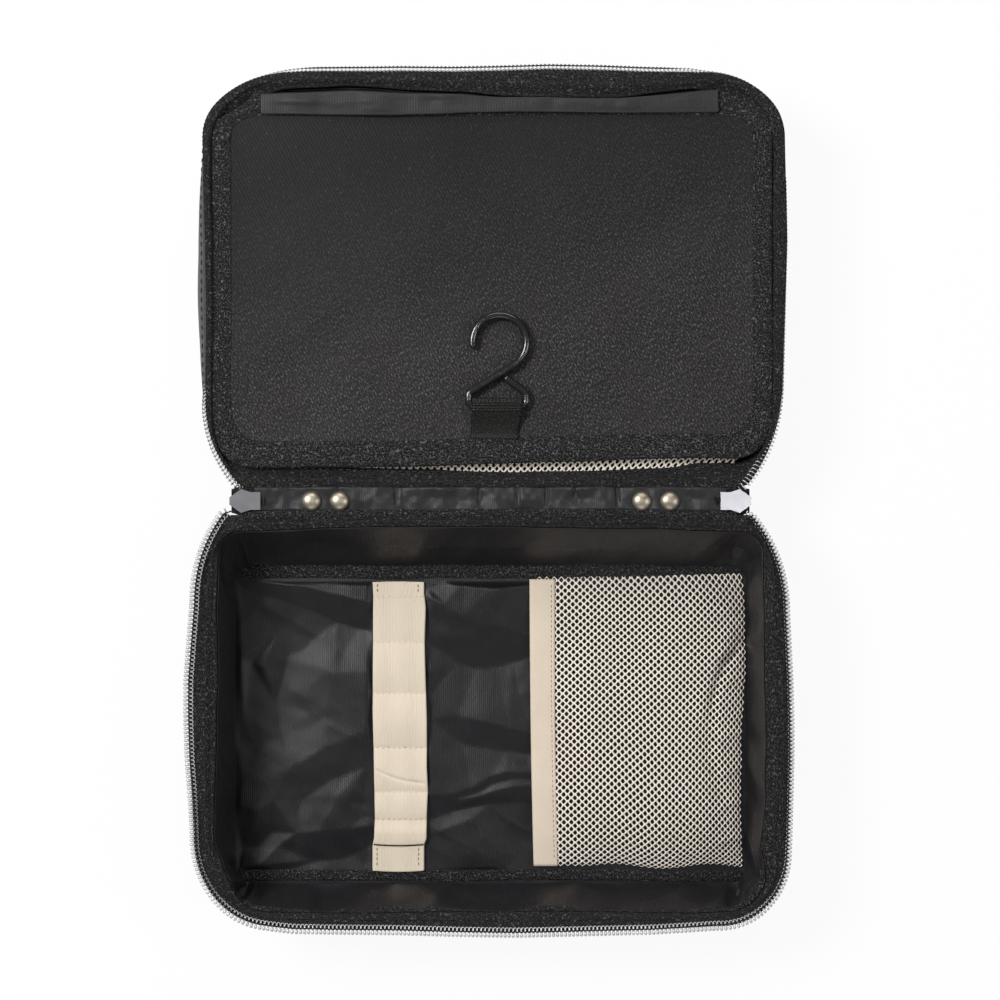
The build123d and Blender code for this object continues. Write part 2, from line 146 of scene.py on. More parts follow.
def piece(name, shape, finish, body, closed=True):
    """A named object from a shape, riding on a body. The faces of a closed one are turned outwards."""
    verts, faces, maps = shape
    mesh = bpy.data.meshes.new(name)
    mesh.from_pydata((np.asarray(verts, float) * MM).tolist(), [], [list(f) for f in faces])
    if maps is not None:
        layer = mesh.uv_layers.new(name=CLOTH_MAP)
        layer.uv.foreach_set("vector", (np.asarray(maps, np.float32) * MM).ravel())
    if closed:
        work = bmesh.new()
        work.from_mesh(mesh)
        bmesh.ops.recalc_face_normals(work, faces=work.faces)
        work.to_mesh(mesh)
        work.free()
    mesh.polygons.foreach_set("use_smooth", [True] * len(mesh.polygons))
    mesh.materials.append(finish)
    ob = bpy.data.objects.new(name, mesh)
    bpy.context.scene.collection.objects.link(ob)
    if body:
        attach(ob, body)
    if body == "base":
        BASE_PIECES.append(ob)
    return ob


class Heap:
    """Several shapes gathered into one."""

    def __init__(self):
        self.verts, self.faces, self.maps, self.count = [], [], [], 0

    def add(self, shape):
        verts, faces, maps = shape
        self.verts.append(verts)
        self.faces += [[i + self.count for i in f] for f in faces]
        self.maps.append(maps)
        self.count += len(verts)

    def piece(self, name, finish, body, slot):
        return piece(name, (np.vstack(self.verts), self.faces, np.vstack(self.maps)), finish, body)


def skin(rows, around=True, over=False):
    """The grid of faces between rows of points. around closes each row, over closes the last row to the first."""
    rows = np.asarray(rows, float)
    k, n = rows.shape[:2]
    middle = rows[k // 2]
    step = np.linalg.norm(np.roll(middle, -1, axis=0) - middle, axis=1)
    u = np.r_[0, np.cumsum(step)]
    v = np.r_[0, np.cumsum(np.linalg.norm(np.roll(rows, -1, axis=0) - rows, axis=2).mean(1))]
    i, j = np.meshgrid(np.arange(k if over else k - 1), np.arange(n if around else n - 1), indexing="ij")
    i, j = i.ravel(), j.ravel()
    i2, j2 = (i + 1) % k, (j + 1) % n
    faces = np.stack([i * n + j, i * n + j2, i2 * n + j2, i2 * n + j], axis=1)
    maps = np.stack([np.stack([u[j], v[i]], 1), np.stack([u[j + 1], v[i]], 1),
                     np.stack([u[j + 1], v[i + 1]], 1), np.stack([u[j], v[i + 1]], 1)], axis=1)
    return rows.reshape(-1, 3), faces.tolist(), maps.reshape(-1, 2)


def capped(shape, *ends):
    """A shape with an end face for each list of points, off the cloth map."""
    verts, faces, maps = shape
    return verts, faces + [list(end) for end in ends], np.vstack([maps, np.zeros((sum(map(len, ends)), 2))])


def ribbon(rows):
    """Closes rows of points, a cross-section in turn, into one shape with capped ends."""
    k, n = np.asarray(rows).shape[:2]
    return capped(skin(rows, around=False, over=True), range(0, k * n, n), range(n - 1, k * n, n))


def tube(path, radius, sides=6, closed=False, across=(0.013, 0.021, 1.0)):
    """A round tube along a path, its ends capped. across is a direction that the frame starts from."""
    path = np.asarray(path, float)
    n = len(path)
    ahead = np.roll(path, -1, axis=0) - np.roll(path, 1, axis=0)
    if not closed:
        ahead[0], ahead[-1] = path[1] - path[0], path[-1] - path[-2]
    ahead = unit(ahead)
    side = np.array(across, float)
    sides_at = np.empty((n, 3))
    for i in range(n):
        side = side - ahead[i] * (side @ ahead[i])
        side /= max(np.linalg.norm(side), 1e-9)
        sides_at[i] = side
    up = np.cross(ahead, sides_at)
    r = np.broadcast_to(np.asarray(radius, float), (n,))[:, None]
    angle = np.arange(sides) * 2 * np.pi / sides
    rings = np.stack([path + r * (math.cos(a) * sides_at + math.sin(a) * up) for a in angle], axis=1)
    if closed:
        return skin(rings, over=True)
    return capped(skin(rings), range(sides)[::-1], range((n - 1) * sides, n * sides))


def sheet(name, grid, finish, body):
    """An open sheet that looks up, its cloth map as seen from above."""
    verts, faces, _ = skin(grid, around=False)
    ob = piece(name, (verts, faces, verts[np.array(faces).ravel()][:, :2]), finish, body, closed=False)
    tilt = np.zeros(len(faces) * 3)
    ob.data.polygons.foreach_get("normal", tilt)
    if tilt[2::3].sum() < 0:
        ob.data.flip_normals()
    return ob


def spaced(path, gap):
    """Points a given distance apart along a path."""
    step = np.linalg.norm(np.diff(path, axis=0), axis=1)
    at = np.r_[0, np.cumsum(step)]
    want = np.linspace(0, at[-1], max(2, int(round(at[-1] / gap)) + 1))
    return np.stack([np.interp(want, at, column) for column in path.T], axis=1)


def eased(guide, first_gap, passes, gap):
    """A line in a plane through guide points, rounded off: its points and the unit normals to its left."""
    line = spaced(np.array(guide), first_gap)
    for _ in range(passes):
        line[1:-1] = 0.5 * line[1:-1] + 0.25 * (line[:-2] + line[2:])
    line = spaced(line, gap)
    ahead = unit(np.gradient(line, axis=0))
    return line, np.stack([-ahead[:, 1], ahead[:, 0]], axis=1)


# A stitch is as many points along its row as STITCH_SINK has heights, and dips into the cloth at both ends. The
# gap to the next is one step.
STITCH_SINK = np.array([-0.30, 0.06, 0.14, 0.06, -0.30])
STITCH_POINTS = len(STITCH_SINK)
STITCH_STEP = STITCH_POINTS + 1


def stitches(heap, path, length, gap, thread, up=(0, 0, 1)):
    """A row of sewn stitches along a path. up is away from the cloth."""
    both = spaced(np.hstack([path, np.broadcast_to(up, path.shape)]), (length + gap) / STITCH_STEP)
    for start in range(0, len(both) - STITCH_POINTS, STITCH_STEP):
        part = both[start:start + STITCH_POINTS]
        heap.add(tube(part[:, :3] + STITCH_SINK[:, None] * unit(part[:, 3:]), thread, 5))


# Outlines of the halves


def outline(left, right, near, far, r_near, r_far, near_left=None, far_left=None):
    """Closed outline of a half as x and distance from the spine, starting at the left end of the spine side.

    A corner's radius is one number, or two where it is longer along the spine than across. The left corners
    take the right ones' radii unless they have their own.
    """
    radii = [r if isinstance(r, tuple) else (r, r) for r in (r_near, r_far, near_left or r_near, far_left or r_far)]
    (nx, nv), (fx, fv), (mx, mv), (gx, gv) = radii
    parts = []

    def run(a, b, n):
        parts.append(np.linspace(a, b, n, endpoint=False))

    def turn(cx, cv, rx, rv, first):
        a = np.radians(first + np.linspace(0, 90, RUN_TURN, endpoint=False))
        parts.append(np.stack([cx + rx * np.cos(a), cv + rv * np.sin(a)], axis=1))

    run((left + mx, near), (right - nx, near), RUN_LONG)
    turn(right - nx, near + nv, nx, nv, -90)
    run((right, near + nv), (right, far - fv), RUN_SIDE)
    turn(right - fx, far - fv, fx, fv, 0)
    run((right - fx, far), (left + gx, far), RUN_LONG)
    turn(left + gx, far - gv, gx, gv, 90)
    run((left, far - gv), (left, near + mv), RUN_SIDE)
    turn(left + mx, near + mv, mx, mv, 180)
    return np.vstack(parts)


# Points round a whole outline
RING = 2 * RUN_LONG + 2 * RUN_SIDE + 4 * RUN_TURN


def outward(loop):
    """Unit normals pointing out of a closed outline."""
    t = unit(np.roll(loop, -1, axis=0) - np.roll(loop, 1, axis=0))
    return np.stack([t[:, 1], -t[:, 0]], axis=1)


def run_along(loop):
    """Distance along a closed outline at each of its points."""
    step = np.linalg.norm(np.roll(loop, -1, axis=0) - loop, axis=1)
    return np.r_[0, np.cumsum(step)[:-1]]


def lay(loop, z, side):
    """An outline or part of one, as points in the case's frame."""
    return np.stack([loop[:, 0], side * loop[:, 1], np.broadcast_to(z, (len(loop),))], axis=1)


class Half:
    """The measured outlines of one half: zip coil's outer edge, inner edge of its bindings, walls and floor.

    bows are how far each side of the coil's outline bulges: along the far side by x, at the left and right by
    the distance from the spine. tilt is how many degrees the coil stands up, by the direction in degrees from a
    point amid the half. low is the height of the bindings' inner edge.
    """

    def __init__(self, name, side, coil, bows, inner, tilt):
        self.name, self.body, self.side, self.tilt_at = name, name.lower(), side, tilt
        self.low = 34.3 if side < 0 else 33.0
        rim = outline(*coil)
        x, v = rim.T
        far, left, right = (np.interp(at, *zip(*bow)) for at, bow in zip((x, v, v), bows))
        rim = rim + np.stack([right * smooth((x - 60) / 40) - left * smooth((-60 - x) / 40),
                              far * smooth((v - 150) / 20)], axis=1)
        # The tape ends where the coil begins, which depends on how far the coil leans
        self.tape = rim
        lean = self.tilt()[:, None]
        wire = 0.9 if side < 0 else 0.8
        reach = (COIL_REACH + wire) * np.cos(lean) + np.where(lean > 0, wire, 0.65 + wire * 0.5) * np.abs(np.sin(lean))
        self.tape = rim - outward(rim) * reach
        self.tape[:, 1] = np.maximum(self.tape[:, 1], TAPE_NEAR)
        # The base's rim is lower where its coil stands up, so the case closes, and the lid's where the flap
        # folds out
        self.dip = 2.2 * np.abs(np.sin(lean[:, 0])) if side < 0 else 2.4 * smooth((self.tape[:, 1] - 156) / 14)
        self.inner = outline(*inner)
        self.wall = outline(-114.0, 114.0, 6.0, 170.0, 22.0, 24.0)
        self.floor = outline(-112.0, 112.0, 28.0, 164.0, 20.0, 20.0)

    def rim_z(self):
        """Height of the zip tape's edge: level along the rim, and down to the slider near the spine."""
        near = smooth((self.tape[:, 1] - 4.0) / 22.0)
        return SLIDER_RIM + (RIM_RISE - self.dip) * near

    def tilt(self):
        """How far the coil stands up from level, in radians, at each point of the outline."""
        x, v = self.tape[:, 0], self.tape[:, 1]
        where = np.arctan2(v - 88.0, x)
        order = [a for a, _ in self.tilt_at]
        return np.radians(np.interp(np.degrees(where), order, [t for _, t in self.tilt_at], period=360))


base = Half(
    "Base", -1,
    coil=(-122.8, 122.4, -17.3, 175.3, (60.5, 61.5), (28.5, 30.5), (51.0, 58.5), (33.5, 38.5)),
    bows=([(-92, 0), (-80, 1.3), (-60, 1.4), (-37, 1.6), (-16, 2.2), (10, 2.6), (24, 2.4), (45, 1.9), (65, 1.5),
           (81, 0.7), (92, 0)],
          [(42, 0), (57, 1.2), (73, 2.4), (89, 2.4), (105, 2.0), (122, 0.8), (136, 0)],
          [(44, 0), (57, 0.6), (73, 1.4), (89, 1.8), (105, 1.8), (122, 1.4), (138, 0.9), (165, 0)]),
    inner=(-111.6, 111.8, 10.8, 168.4, 9.0, 14.0, 9.0, 22.0),
    tilt=[(-180, 8), (-150, 10), (-120, 20), (-95, 30), (-70, 58), (-20, 70), (20, 72), (32, 62), (42, 32), (52, 12),
          (90, 5), (126, 8), (138, 24), (148, 46), (160, 42), (171, 16), (180, 8)],
)
lid = Half(
    "Lid", 1,
    coil=(-119.3, 121.5, -17.0, 177.5, (61.5, 62.0), (35.0, 29.0), (59.0, 60.0), (40.0, 29.0)),
    bows=([(-90, 0), (-77, 0.5), (-57, 0.9), (-37, 1.2), (-16, 1.0), (4, 1.4), (24, 2.0), (45, 1.6), (65, 0.8),
           (88, 0)],
          [(0, 0), (200, 0)],
          [(41, -0.6), (57, -0.2), (74, 0.2), (90, 0.6), (106, 1.0), (122, 0.7), (143, 0.2), (155, 0)]),
    inner=(-109.2, 109.2, 11.2, 165.2, 10.0, (30.0, 26.0)),
    tilt=[(-180, -80), (-150, -68), (-120, 5), (-90, 20), (-40, 20), (-20, -74), (10, -80), (34, -80), (46, -68),
          (56, -52), (90, -50), (118, -52), (130, -66), (140, -74), (160, -78), (180, -80)],
)
# The lid's left rim is drawn in along its middle
lid.tape[:, 0] += 1.6 * np.exp(-((lid.tape[:, 1] - 80.0) / 50.0) ** 2) * smooth((-80 - lid.tape[:, 0]) / 20)


def wander(half, axis, share, at, by):
    """Moves a share of the bindings' inner edge along x (0) or away from the spine (1), by places on the other."""
    half.inner[:, axis] += np.interp(half.inner[:, 1 - axis], at, by) * share


# The lid's bands towards the spine and away from it, then the base's band towards the spine
wander(lid, 1, smooth((26 - lid.inner[:, 1]) / 12),
       [-106, -80, -59, -20, 3, 45, 75, 86, 102], [4.0, 2.3, 1.8, 0.4, 0, 0, 1.7, 3.3, 3.7])
wander(lid, 1, smooth((lid.inner[:, 1] - 140) / 20),
       [-94, -57, -35, -11, 3, 28, 53, 72, 93], [3.1, 4.1, 2.8, 2.2, 0.8, 0.1, -0.2, 1.9, 4.1])
wander(base, 1, smooth((26 - base.inner[:, 1]) / 12), [-106, -80, -35, 20, 70, 100], [1.2, 0.6, -0.5, 0, 0.6, 1.8])
# The base's side bands widen and narrow, with a sharp crease near the left far corner
wander(base, 0, base.inner[:, 0] < -90,
       [30, 60, 100, 137, 141, 147, 156, 163, 167], [0, 0, -0.8, -1.6, -1.4, 1.6, 2.8, 1.6, 0])
wander(base, 0, base.inner[:, 0] > 90, [30, 70, 122, 141, 149, 156, 164], [0, 0.8, 0.7, -1.6, 0.4, 1.0, 0])


# Finishes


class Bench:
    """Adds and joins nodes in one tree."""

    def __init__(self, tree):
        self.tree = tree

    def put(self, value, socket):
        if isinstance(value, bpy.types.NodeSocket):
            self.tree.links.new(value, socket)
        else:
            socket.default_value = value

    def add(self, kind, values=(), **settings):
        node = self.tree.nodes.new("ShaderNode" + kind)
        for key, value in settings.items():
            setattr(node, key, value)
        for key, value in dict(values).items():
            self.put(value, node.inputs[key])
        return node

    def maths(self, how, a, b=0.0):
        return self.add("Math", {0: a, 1: b}, operation=how).outputs[0]

    def turn(self, vector, angle):
        return self.add("VectorRotate", {"Vector": vector, "Angle": angle}, rotation_type="Z_AXIS").outputs[0]

    def stretch(self, vector, shares):
        return self.add("VectorMath", {0: vector, 1: shares}, operation="MULTIPLY").outputs[0]

    def noise(self, vector, size, detail, roughness):
        return self.add("TexNoise", {"Vector": vector, "Scale": self.maths("DIVIDE", 1.0, size), "Detail": detail,
                                     "Roughness": roughness}).outputs["Fac"]

    def spread(self, value, low, high, to_low=0.0, to_high=1.0):
        return self.add("MapRange", {"Value": value, "From Min": low, "From Max": high,
                                     "To Min": to_low, "To Max": to_high}).outputs["Result"]

    def blend(self, share, a, b):
        node = self.add("Mix", data_type="RGBA")
        # The node has sockets of the same name for other kinds of data, so they are found by identifier
        sockets = {s.identifier: s for s in node.inputs}
        for key, value in (("Factor_Float", share), ("A_Color", a), ("B_Color", b)):
            self.put(value, sockets[key])
        return next(s for s in node.outputs if s.identifier == "Result_Color")

    def lay(self, effect_tree, vector, **values):
        """An effect laid over a vector: the sockets that come out of it."""
        return self.add("Group", {"Vector": vector, **values}, node_tree=effect_tree).outputs


def effect(name, inputs, outputs):
    """A shader node group over a vector: its tree, its bench, and the sockets that come in and go out."""
    tree = bpy.data.node_groups.new(name, "ShaderNodeTree")
    tree.interface.new_socket(name="Vector", in_out="INPUT", socket_type="NodeSocketVector")
    for label, value in inputs.items():
        tree.interface.new_socket(name=label, in_out="INPUT", socket_type="NodeSocketFloat").default_value = value
    for label in outputs:
        tree.interface.new_socket(name=label, in_out="OUTPUT", socket_type="NodeSocketFloat")
    return tree, Bench(tree), tree.nodes.new("NodeGroupInput").outputs, tree.nodes.new("NodeGroupOutput").inputs


# Plain weave: threads over and under one another, two ways across the cloth map
weave, bench, given, made = effect("Plain weave", {"Thread": 0.0005, "Turn": 0.0}, ["Height"])
split = bench.add("SeparateXYZ", {"Vector": bench.turn(given["Vector"], given["Turn"])}).outputs
across, along = (bench.maths("DIVIDE", split[axis], given["Thread"]) for axis in "XY")
turn_x, turn_y = (bench.maths("ABSOLUTE", bench.maths("SINE", bench.maths("MULTIPLY", way, math.pi)))
                  for way in (across, along))
check = bench.maths("PINGPONG", bench.maths("ADD", bench.maths("FLOOR", across), bench.maths("FLOOR", along)), 1.0)
other = bench.maths("SUBTRACT", 1.0, check)
bench.put(bench.maths("ADD", bench.maths("MULTIPLY", turn_x, check), bench.maths("MULTIPLY", turn_y, other)),
          made["Height"])

# Ribs: raised lines side by side, such as cords, reed marks or herringbone when folded
ZIGZAG_LENGTH = 0.0016
ribs, bench, given, made = effect("Ribs", {"Pitch": 0.001, "Turn": 0.0, "Fold": 0.0}, ["Height"])
split = bench.add("SeparateXYZ", {"Vector": bench.turn(given["Vector"], given["Turn"])}).outputs
zigzag = bench.maths("PINGPONG", split["Y"], ZIGZAG_LENGTH)
place = bench.maths("ADD", split["X"], bench.maths("MULTIPLY", zigzag, given["Fold"]))
wave = bench.maths("SINE", bench.maths("MULTIPLY", bench.maths("DIVIDE", place, given["Pitch"]), math.tau))
bench.put(bench.spread(wave, -1.0, 1.0), made["Height"])

# Flecks: the fine pale and dark specks of spun thread
FLECK_EDGE = 0.14
flecks, bench, given, made = effect("Flecks", {"Size": 0.0006, "Cut": 0.55}, ["Mask", "Grain"])
lumps = bench.noise(given["Vector"], given["Size"], 2.0, 0.6)
bench.put(bench.spread(lumps, given["Cut"], bench.maths("ADD", given["Cut"], FLECK_EDGE)), made["Mask"])
bench.put(lumps, made["Grain"])

# Patches: slow changes of tone over a cloth, from handling and uneven dye, and on the flap painted sheen
patches, bench, given, made = effect("Patches", {"Size": 0.03}, ["Share"])
bench.put(bench.spread(bench.noise(given["Vector"], given["Size"], 3.0, 0.5), 0.3, 0.7), made["Share"])


def grey(level, blue=0.0, red=0.0):
    """A dark or neutral colour as written in linear light."""
    return (level + red, level, level + blue, 1.0)


class Finish(Bench):
    """A material and its surface shader. Socket names use _ for a space."""

    def __init__(self, name, roughness, **sockets):
        self.material = bpy.data.materials.new(name)
        self.material.use_nodes = True
        super().__init__(self.material.node_tree)
        self.shader = self.tree.nodes["Principled BSDF"]
        for key, value in {"Roughness": roughness, **sockets}.items():
            self.shader.inputs[key.replace("_", " ")].default_value = value

    def cloth(self):
        return self.add("UVMap", uv_map=CLOTH_MAP).outputs["UV"]

    def body(self):
        return self.add("TexCoord").outputs["Object"]

    def some(self, mask, share):
        return self.maths("MULTIPLY", mask, share)

    def valleys(self, height, share):
        """A share that is full where a height is low and fades to none on top: painted shade in the valleys between
        raised lines, and for patches the low parts of their tone.
        """
        return self.spread(height, 0.0, 1.0, share, 0.0)

    def uneven(self, grain, low, high):
        """A value that wanders between low and high with the grain."""
        return self.spread(grain["Grain"], 0.3, 0.7, low, high)

    def dress(self, colour, rough, *heights):
        """Joins a colour, a roughness if any, and a chain of bumps, each (height, strength, distance)."""
        self.put(colour, self.shader.inputs["Base Color"])
        if rough is not None:
            self.put(rough, self.shader.inputs["Roughness"])
        chain = {}
        for height, strength, distance in heights:
            bump = self.add("Bump", {"Height": height, "Strength": strength, "Distance": distance, **chain})
            chain = {"Normal": bump.outputs["Normal"]}
            self.put(bump.outputs["Normal"], self.shader.inputs["Normal"])
        return self.material


def coated_fabric():
    """Smooth dark coated fabric of the outside."""
    m = Finish("Coated outer fabric", 0.52, Specular_IOR_Level=0.42)
    woven = m.lay(weave, m.cloth(), Thread=0.00055)["Height"]
    tone = m.lay(patches, m.body(), Size=0.05)["Share"]
    grain = m.lay(flecks, m.body(), Size=0.0011, Cut=0.56)
    colour = m.blend(tone, grey(0.030, 0.001), grey(0.040, 0.002))
    return m.dress(colour, m.uneven(grain, 0.46, 0.6), (woven, 0.22, 0.0001), (grain["Grain"], 0.15, 0.0002))


def lining_nylon(name="Lining nylon", level=0.0042, blue=0.0016, red=0.0, rough=(0.36, 0.5), reed=0.00085):
    """Thin shiny nylon with fine reed lines."""
    m = Finish(name, 0.42, Specular_IOR_Level=0.42, Sheen_Weight=0.01)
    where = m.cloth()
    woven = m.lay(weave, where, Thread=0.00035)["Height"]
    lines = m.lay(ribs, where, Pitch=reed)["Height"]
    tone = m.lay(patches, m.body(), Size=0.035)["Share"]
    grain = m.lay(flecks, where, Size=0.0005, Cut=0.52)
    colour = m.blend(tone, grey(level * 0.8, blue, red), grey(level * 1.2, blue, red))
    colour = m.blend(m.some(grain["Mask"], 0.5), colour, grey(level * 3.0, blue, red))
    # Painted shade between the reed lines
    colour = m.blend(m.valleys(lines, 0.45), colour, grey(level * 0.4, blue * 0.5))
    return m.dress(colour, m.uneven(grain, *rough),
                   (woven, 0.2, 0.0001), (lines, 0.3, 0.0001), (grain["Grain"], 0.35, 0.0002))


def herringbone(name="Herringbone binding", level=0.0165):
    """Matt cotton-like tape with a broken herringbone and pale specks."""
    m = Finish(name, 0.82, Specular_IOR_Level=0.2, Sheen_Weight=0.02, Sheen_Roughness=0.5)
    where = m.cloth()
    zigzag = m.lay(ribs, where, Pitch=0.0008, Turn=0.6, Fold=1.2)["Height"]
    woven = m.lay(weave, where, Thread=0.00045)["Height"]
    grain = m.lay(flecks, where, Size=0.00062, Cut=0.51)
    fluff = m.lay(flecks, m.body(), Size=0.0011, Cut=0.58)["Mask"]
    rub = m.lay(patches, m.body(), Size=0.012)["Share"]
    colour = m.blend(grain["Mask"], grey(level * 0.12), grey(level * 5.4, 0.001))
    # Painted shade between the herringbone's ribs
    colour = m.blend(m.valleys(zigzag, 0.4), colour, grey(level * 0.2))
    colour = m.blend(m.valleys(rub, 0.3), colour, grey(level * 0.4))
    colour = m.blend(m.some(fluff, 0.8), colour, grey(level * 8.0, 0.002))
    return m.dress(colour, None, (zigzag, 0.5, 0.0002), (woven, 0.3, 0.0001), (grain["Grain"], 0.6, 0.0003))


def twill():
    """Dark oxford of the flap: steep diagonal lines, specks and a faint sheen."""
    m = Finish("Flap twill", 0.6, Specular_IOR_Level=0.28, Sheen_Weight=0.015, Sheen_Roughness=0.4)
    where = m.cloth()
    slant = m.lay(ribs, where, Pitch=0.0013, Turn=math.radians(-27))["Height"]
    woven = m.lay(weave, where, Thread=0.0005, Turn=0.1)["Height"]
    drawn = m.stretch(m.turn(where, math.radians(-27)), (1.0, 0.36, 1.0))
    # Painted sheen: long diagonal patches of lighter colour, laid at random, stand in for the broad diagonal sheen
    # across the flap
    painted_sheen_bands = m.stretch(m.turn(where, math.radians(-38)), (0.4, 1.0, 1.0))
    grain = m.lay(flecks, drawn, Size=0.00044, Cut=0.51)
    dust = m.lay(flecks, m.body(), Size=0.0009, Cut=0.64)["Mask"]
    tone = m.lay(patches, painted_sheen_bands, Size=0.045)["Share"]
    tint = m.lay(patches, where, Size=0.022)["Share"]
    black = grey(0.001, 0.0004)
    colour = m.blend(tone, grey(0.0, 0.0004, 0.0002), grey(0.012, 0.0015, 0.002))
    colour = m.blend(m.some(grain["Mask"], 0.95), colour,
                     m.blend(tint, grey(0.088, 0.011, 0.014), grey(0.118, 0.003, 0.006)))
    # Painted shade between the diagonal lines
    colour = m.blend(m.valleys(slant, 0.55), colour, black)
    # Painted shade: darker towards the strip that it folds on, standing in for the broad sheen that lights the rest of
    # the flap
    shade_towards_strip = m.add("VectorMath", {0: where, 1: (-0.25, 1.0, 0.0)}, operation="DOT_PRODUCT").outputs["Value"]
    colour = m.blend(m.spread(shade_towards_strip, 0.06, 0.15, 0.0, 0.85), colour, black)
    colour = m.blend(m.some(dust, 0.6), colour, grey(0.09, 0.003, 0.002))
    return m.dress(colour, m.uneven(grain, 0.5, 0.66),
                   (slant, 0.2, 0.0002), (woven, 0.25, 0.0001), (grain["Grain"], 0.22, 0.0002))


def coil_finish():
    """Silver-washed nylon of the zip coil."""
    m = Finish("Zip coil", 0.4, Metallic=0.3, Specular_IOR_Level=0.5)
    where = m.body()
    tone = m.lay(patches, where, Size=0.012)["Share"]
    wear = m.lay(flecks, where, Size=0.0008, Cut=0.55)
    colour = m.blend(tone, grey(0.52, 0.008), grey(0.66, 0.008))
    colour = m.blend(m.some(wear["Mask"], 0.3), colour, grey(0.34, 0.008))
    return m.dress(colour, m.uneven(wear, 0.26, 0.44), (wear["Grain"], 0.1, 0.0001))


def sewing_thread(name, colour_low, colour_high):
    """Twisted sewing thread."""
    m = Finish(name, 0.7, Specular_IOR_Level=0.35)
    twist = m.lay(ribs, m.cloth(), Pitch=0.0004, Turn=0.8)["Height"]
    grain = m.lay(flecks, m.body(), Size=0.0009, Cut=0.5)["Grain"]
    return m.dress(m.blend(grain, colour_low, colour_high), None, (twist, 0.4, 0.0001))


def cream_elastic():
    """Cream woven elastic: cords side by side, with a fine weave between."""
    m = Finish("Cream elastic", 0.78, Specular_IOR_Level=0.3, Sheen_Weight=0.08, Sheen_Roughness=0.5)
    where = m.cloth()
    woven = m.lay(weave, where, Thread=0.0004)["Height"]
    cords = m.lay(ribs, where, Pitch=0.00066)["Height"]
    tone = m.lay(patches, m.body(), Size=0.02)["Share"]
    grain = m.lay(flecks, where, Size=0.0005, Cut=0.52)
    colour = m.blend(tone, (0.70, 0.61, 0.485, 1), (0.755, 0.66, 0.535, 1))
    colour = m.blend(m.some(grain["Mask"], 0.3), colour, (0.56, 0.46, 0.34, 1))
    # Painted shade between the cords, darker where they dip
    colour = m.blend(m.spread(cords, 0.0, 0.35, 0.35, 0.0), colour, (0.50, 0.41, 0.30, 1))
    return m.dress(colour, None, (cords, 0.35, 0.0002), (woven, 0.3, 0.0001), (grain["Grain"], 0.2, 0.0002))


def cream_binding():
    """Cream twill tape of the net pockets."""
    m = Finish("Cream binding", 0.8, Specular_IOR_Level=0.28, Sheen_Weight=0.06, Sheen_Roughness=0.5)
    where = m.cloth()
    woven = m.lay(weave, where, Thread=0.00042)["Height"]
    slant = m.lay(ribs, where, Pitch=0.0008, Turn=0.7)["Height"]
    tone = m.lay(patches, m.body(), Size=0.02)["Share"]
    grain = m.lay(flecks, where, Size=0.0006, Cut=0.52)
    colour = m.blend(tone, (0.65, 0.55, 0.44, 1), (0.70, 0.60, 0.485, 1))
    colour = m.blend(m.some(grain["Mask"], 0.25), colour, (0.50, 0.41, 0.32, 1))
    return m.dress(colour, None, (woven, 0.3, 0.00012), (slant, 0.2, 0.0001), (grain["Grain"], 0.2, 0.0002))


def net_yarn():
    """Cream knitted yarn of the nets."""
    m = Finish("Cream net", 0.7, Specular_IOR_Level=0.32, Sheen_Weight=0.1, Sheen_Roughness=0.45)
    where = m.body()
    knit = m.lay(ribs, where, Pitch=0.0005, Turn=0.785)["Height"]
    grain = m.lay(flecks, where, Size=0.0006, Cut=0.52)
    tone = m.lay(patches, where, Size=0.03)["Share"]
    colour = m.blend(tone, (0.87, 0.79, 0.69, 1), (0.93, 0.85, 0.75, 1))
    colour = m.blend(m.some(grain["Mask"], 0.25), colour, (0.62, 0.54, 0.45, 1))
    return m.dress(colour, None, (knit, 0.35, 0.0001), (grain["Grain"], 0.25, 0.0002))


def black_webbing():
    """Black polyester webbing, slightly shiny on its ribs."""
    m = Finish("Black webbing", 0.5, Specular_IOR_Level=0.3, Sheen_Weight=0.01)
    where = m.cloth()
    cords = m.lay(ribs, where, Pitch=0.0006, Turn=math.pi / 2)["Height"]
    woven = m.lay(weave, where, Thread=0.0007)["Height"]
    grain = m.lay(flecks, where, Size=0.0008, Cut=0.55)
    colour = m.blend(grain["Mask"], (0.004, 0.0035, 0.003, 1), (0.03, 0.026, 0.023, 1))
    return m.dress(colour, m.spread(cords, 0.0, 1.0, 0.55, 0.3),
                   (cords, 0.12, 0.0002), (woven, 0.5, 0.0002), (grain["Grain"], 0.2, 0.0002))


def cast_metal(name, low, high, rough_low, rough_high):
    """Plated metal, slightly uneven in tone and polish."""
    m = Finish(name, rough_low, Metallic=1.0)
    where = m.body()
    tone = m.lay(patches, where, Size=0.006)["Share"]
    marks = m.lay(flecks, where, Size=0.0006, Cut=0.6)
    return m.dress(m.blend(tone, low, high), m.uneven(marks, rough_low, rough_high))


def gloss_paint():
    """Gloss black paint over the hook's wire."""
    m = Finish("Gloss black paint", 0.2, Specular_IOR_Level=0.6, Coat_Weight=0.4, Coat_Roughness=0.12)
    where = m.body()
    dips = m.lay(flecks, where, Size=0.0025, Cut=0.5)
    dust = m.lay(flecks, where, Size=0.0006, Cut=0.66)["Mask"]
    colour = m.blend(m.some(dust, 0.4), grey(0.010), grey(0.05))
    return m.dress(colour, m.uneven(dips, 0.16, 0.28), (dips["Grain"], 0.08, 0.0003))


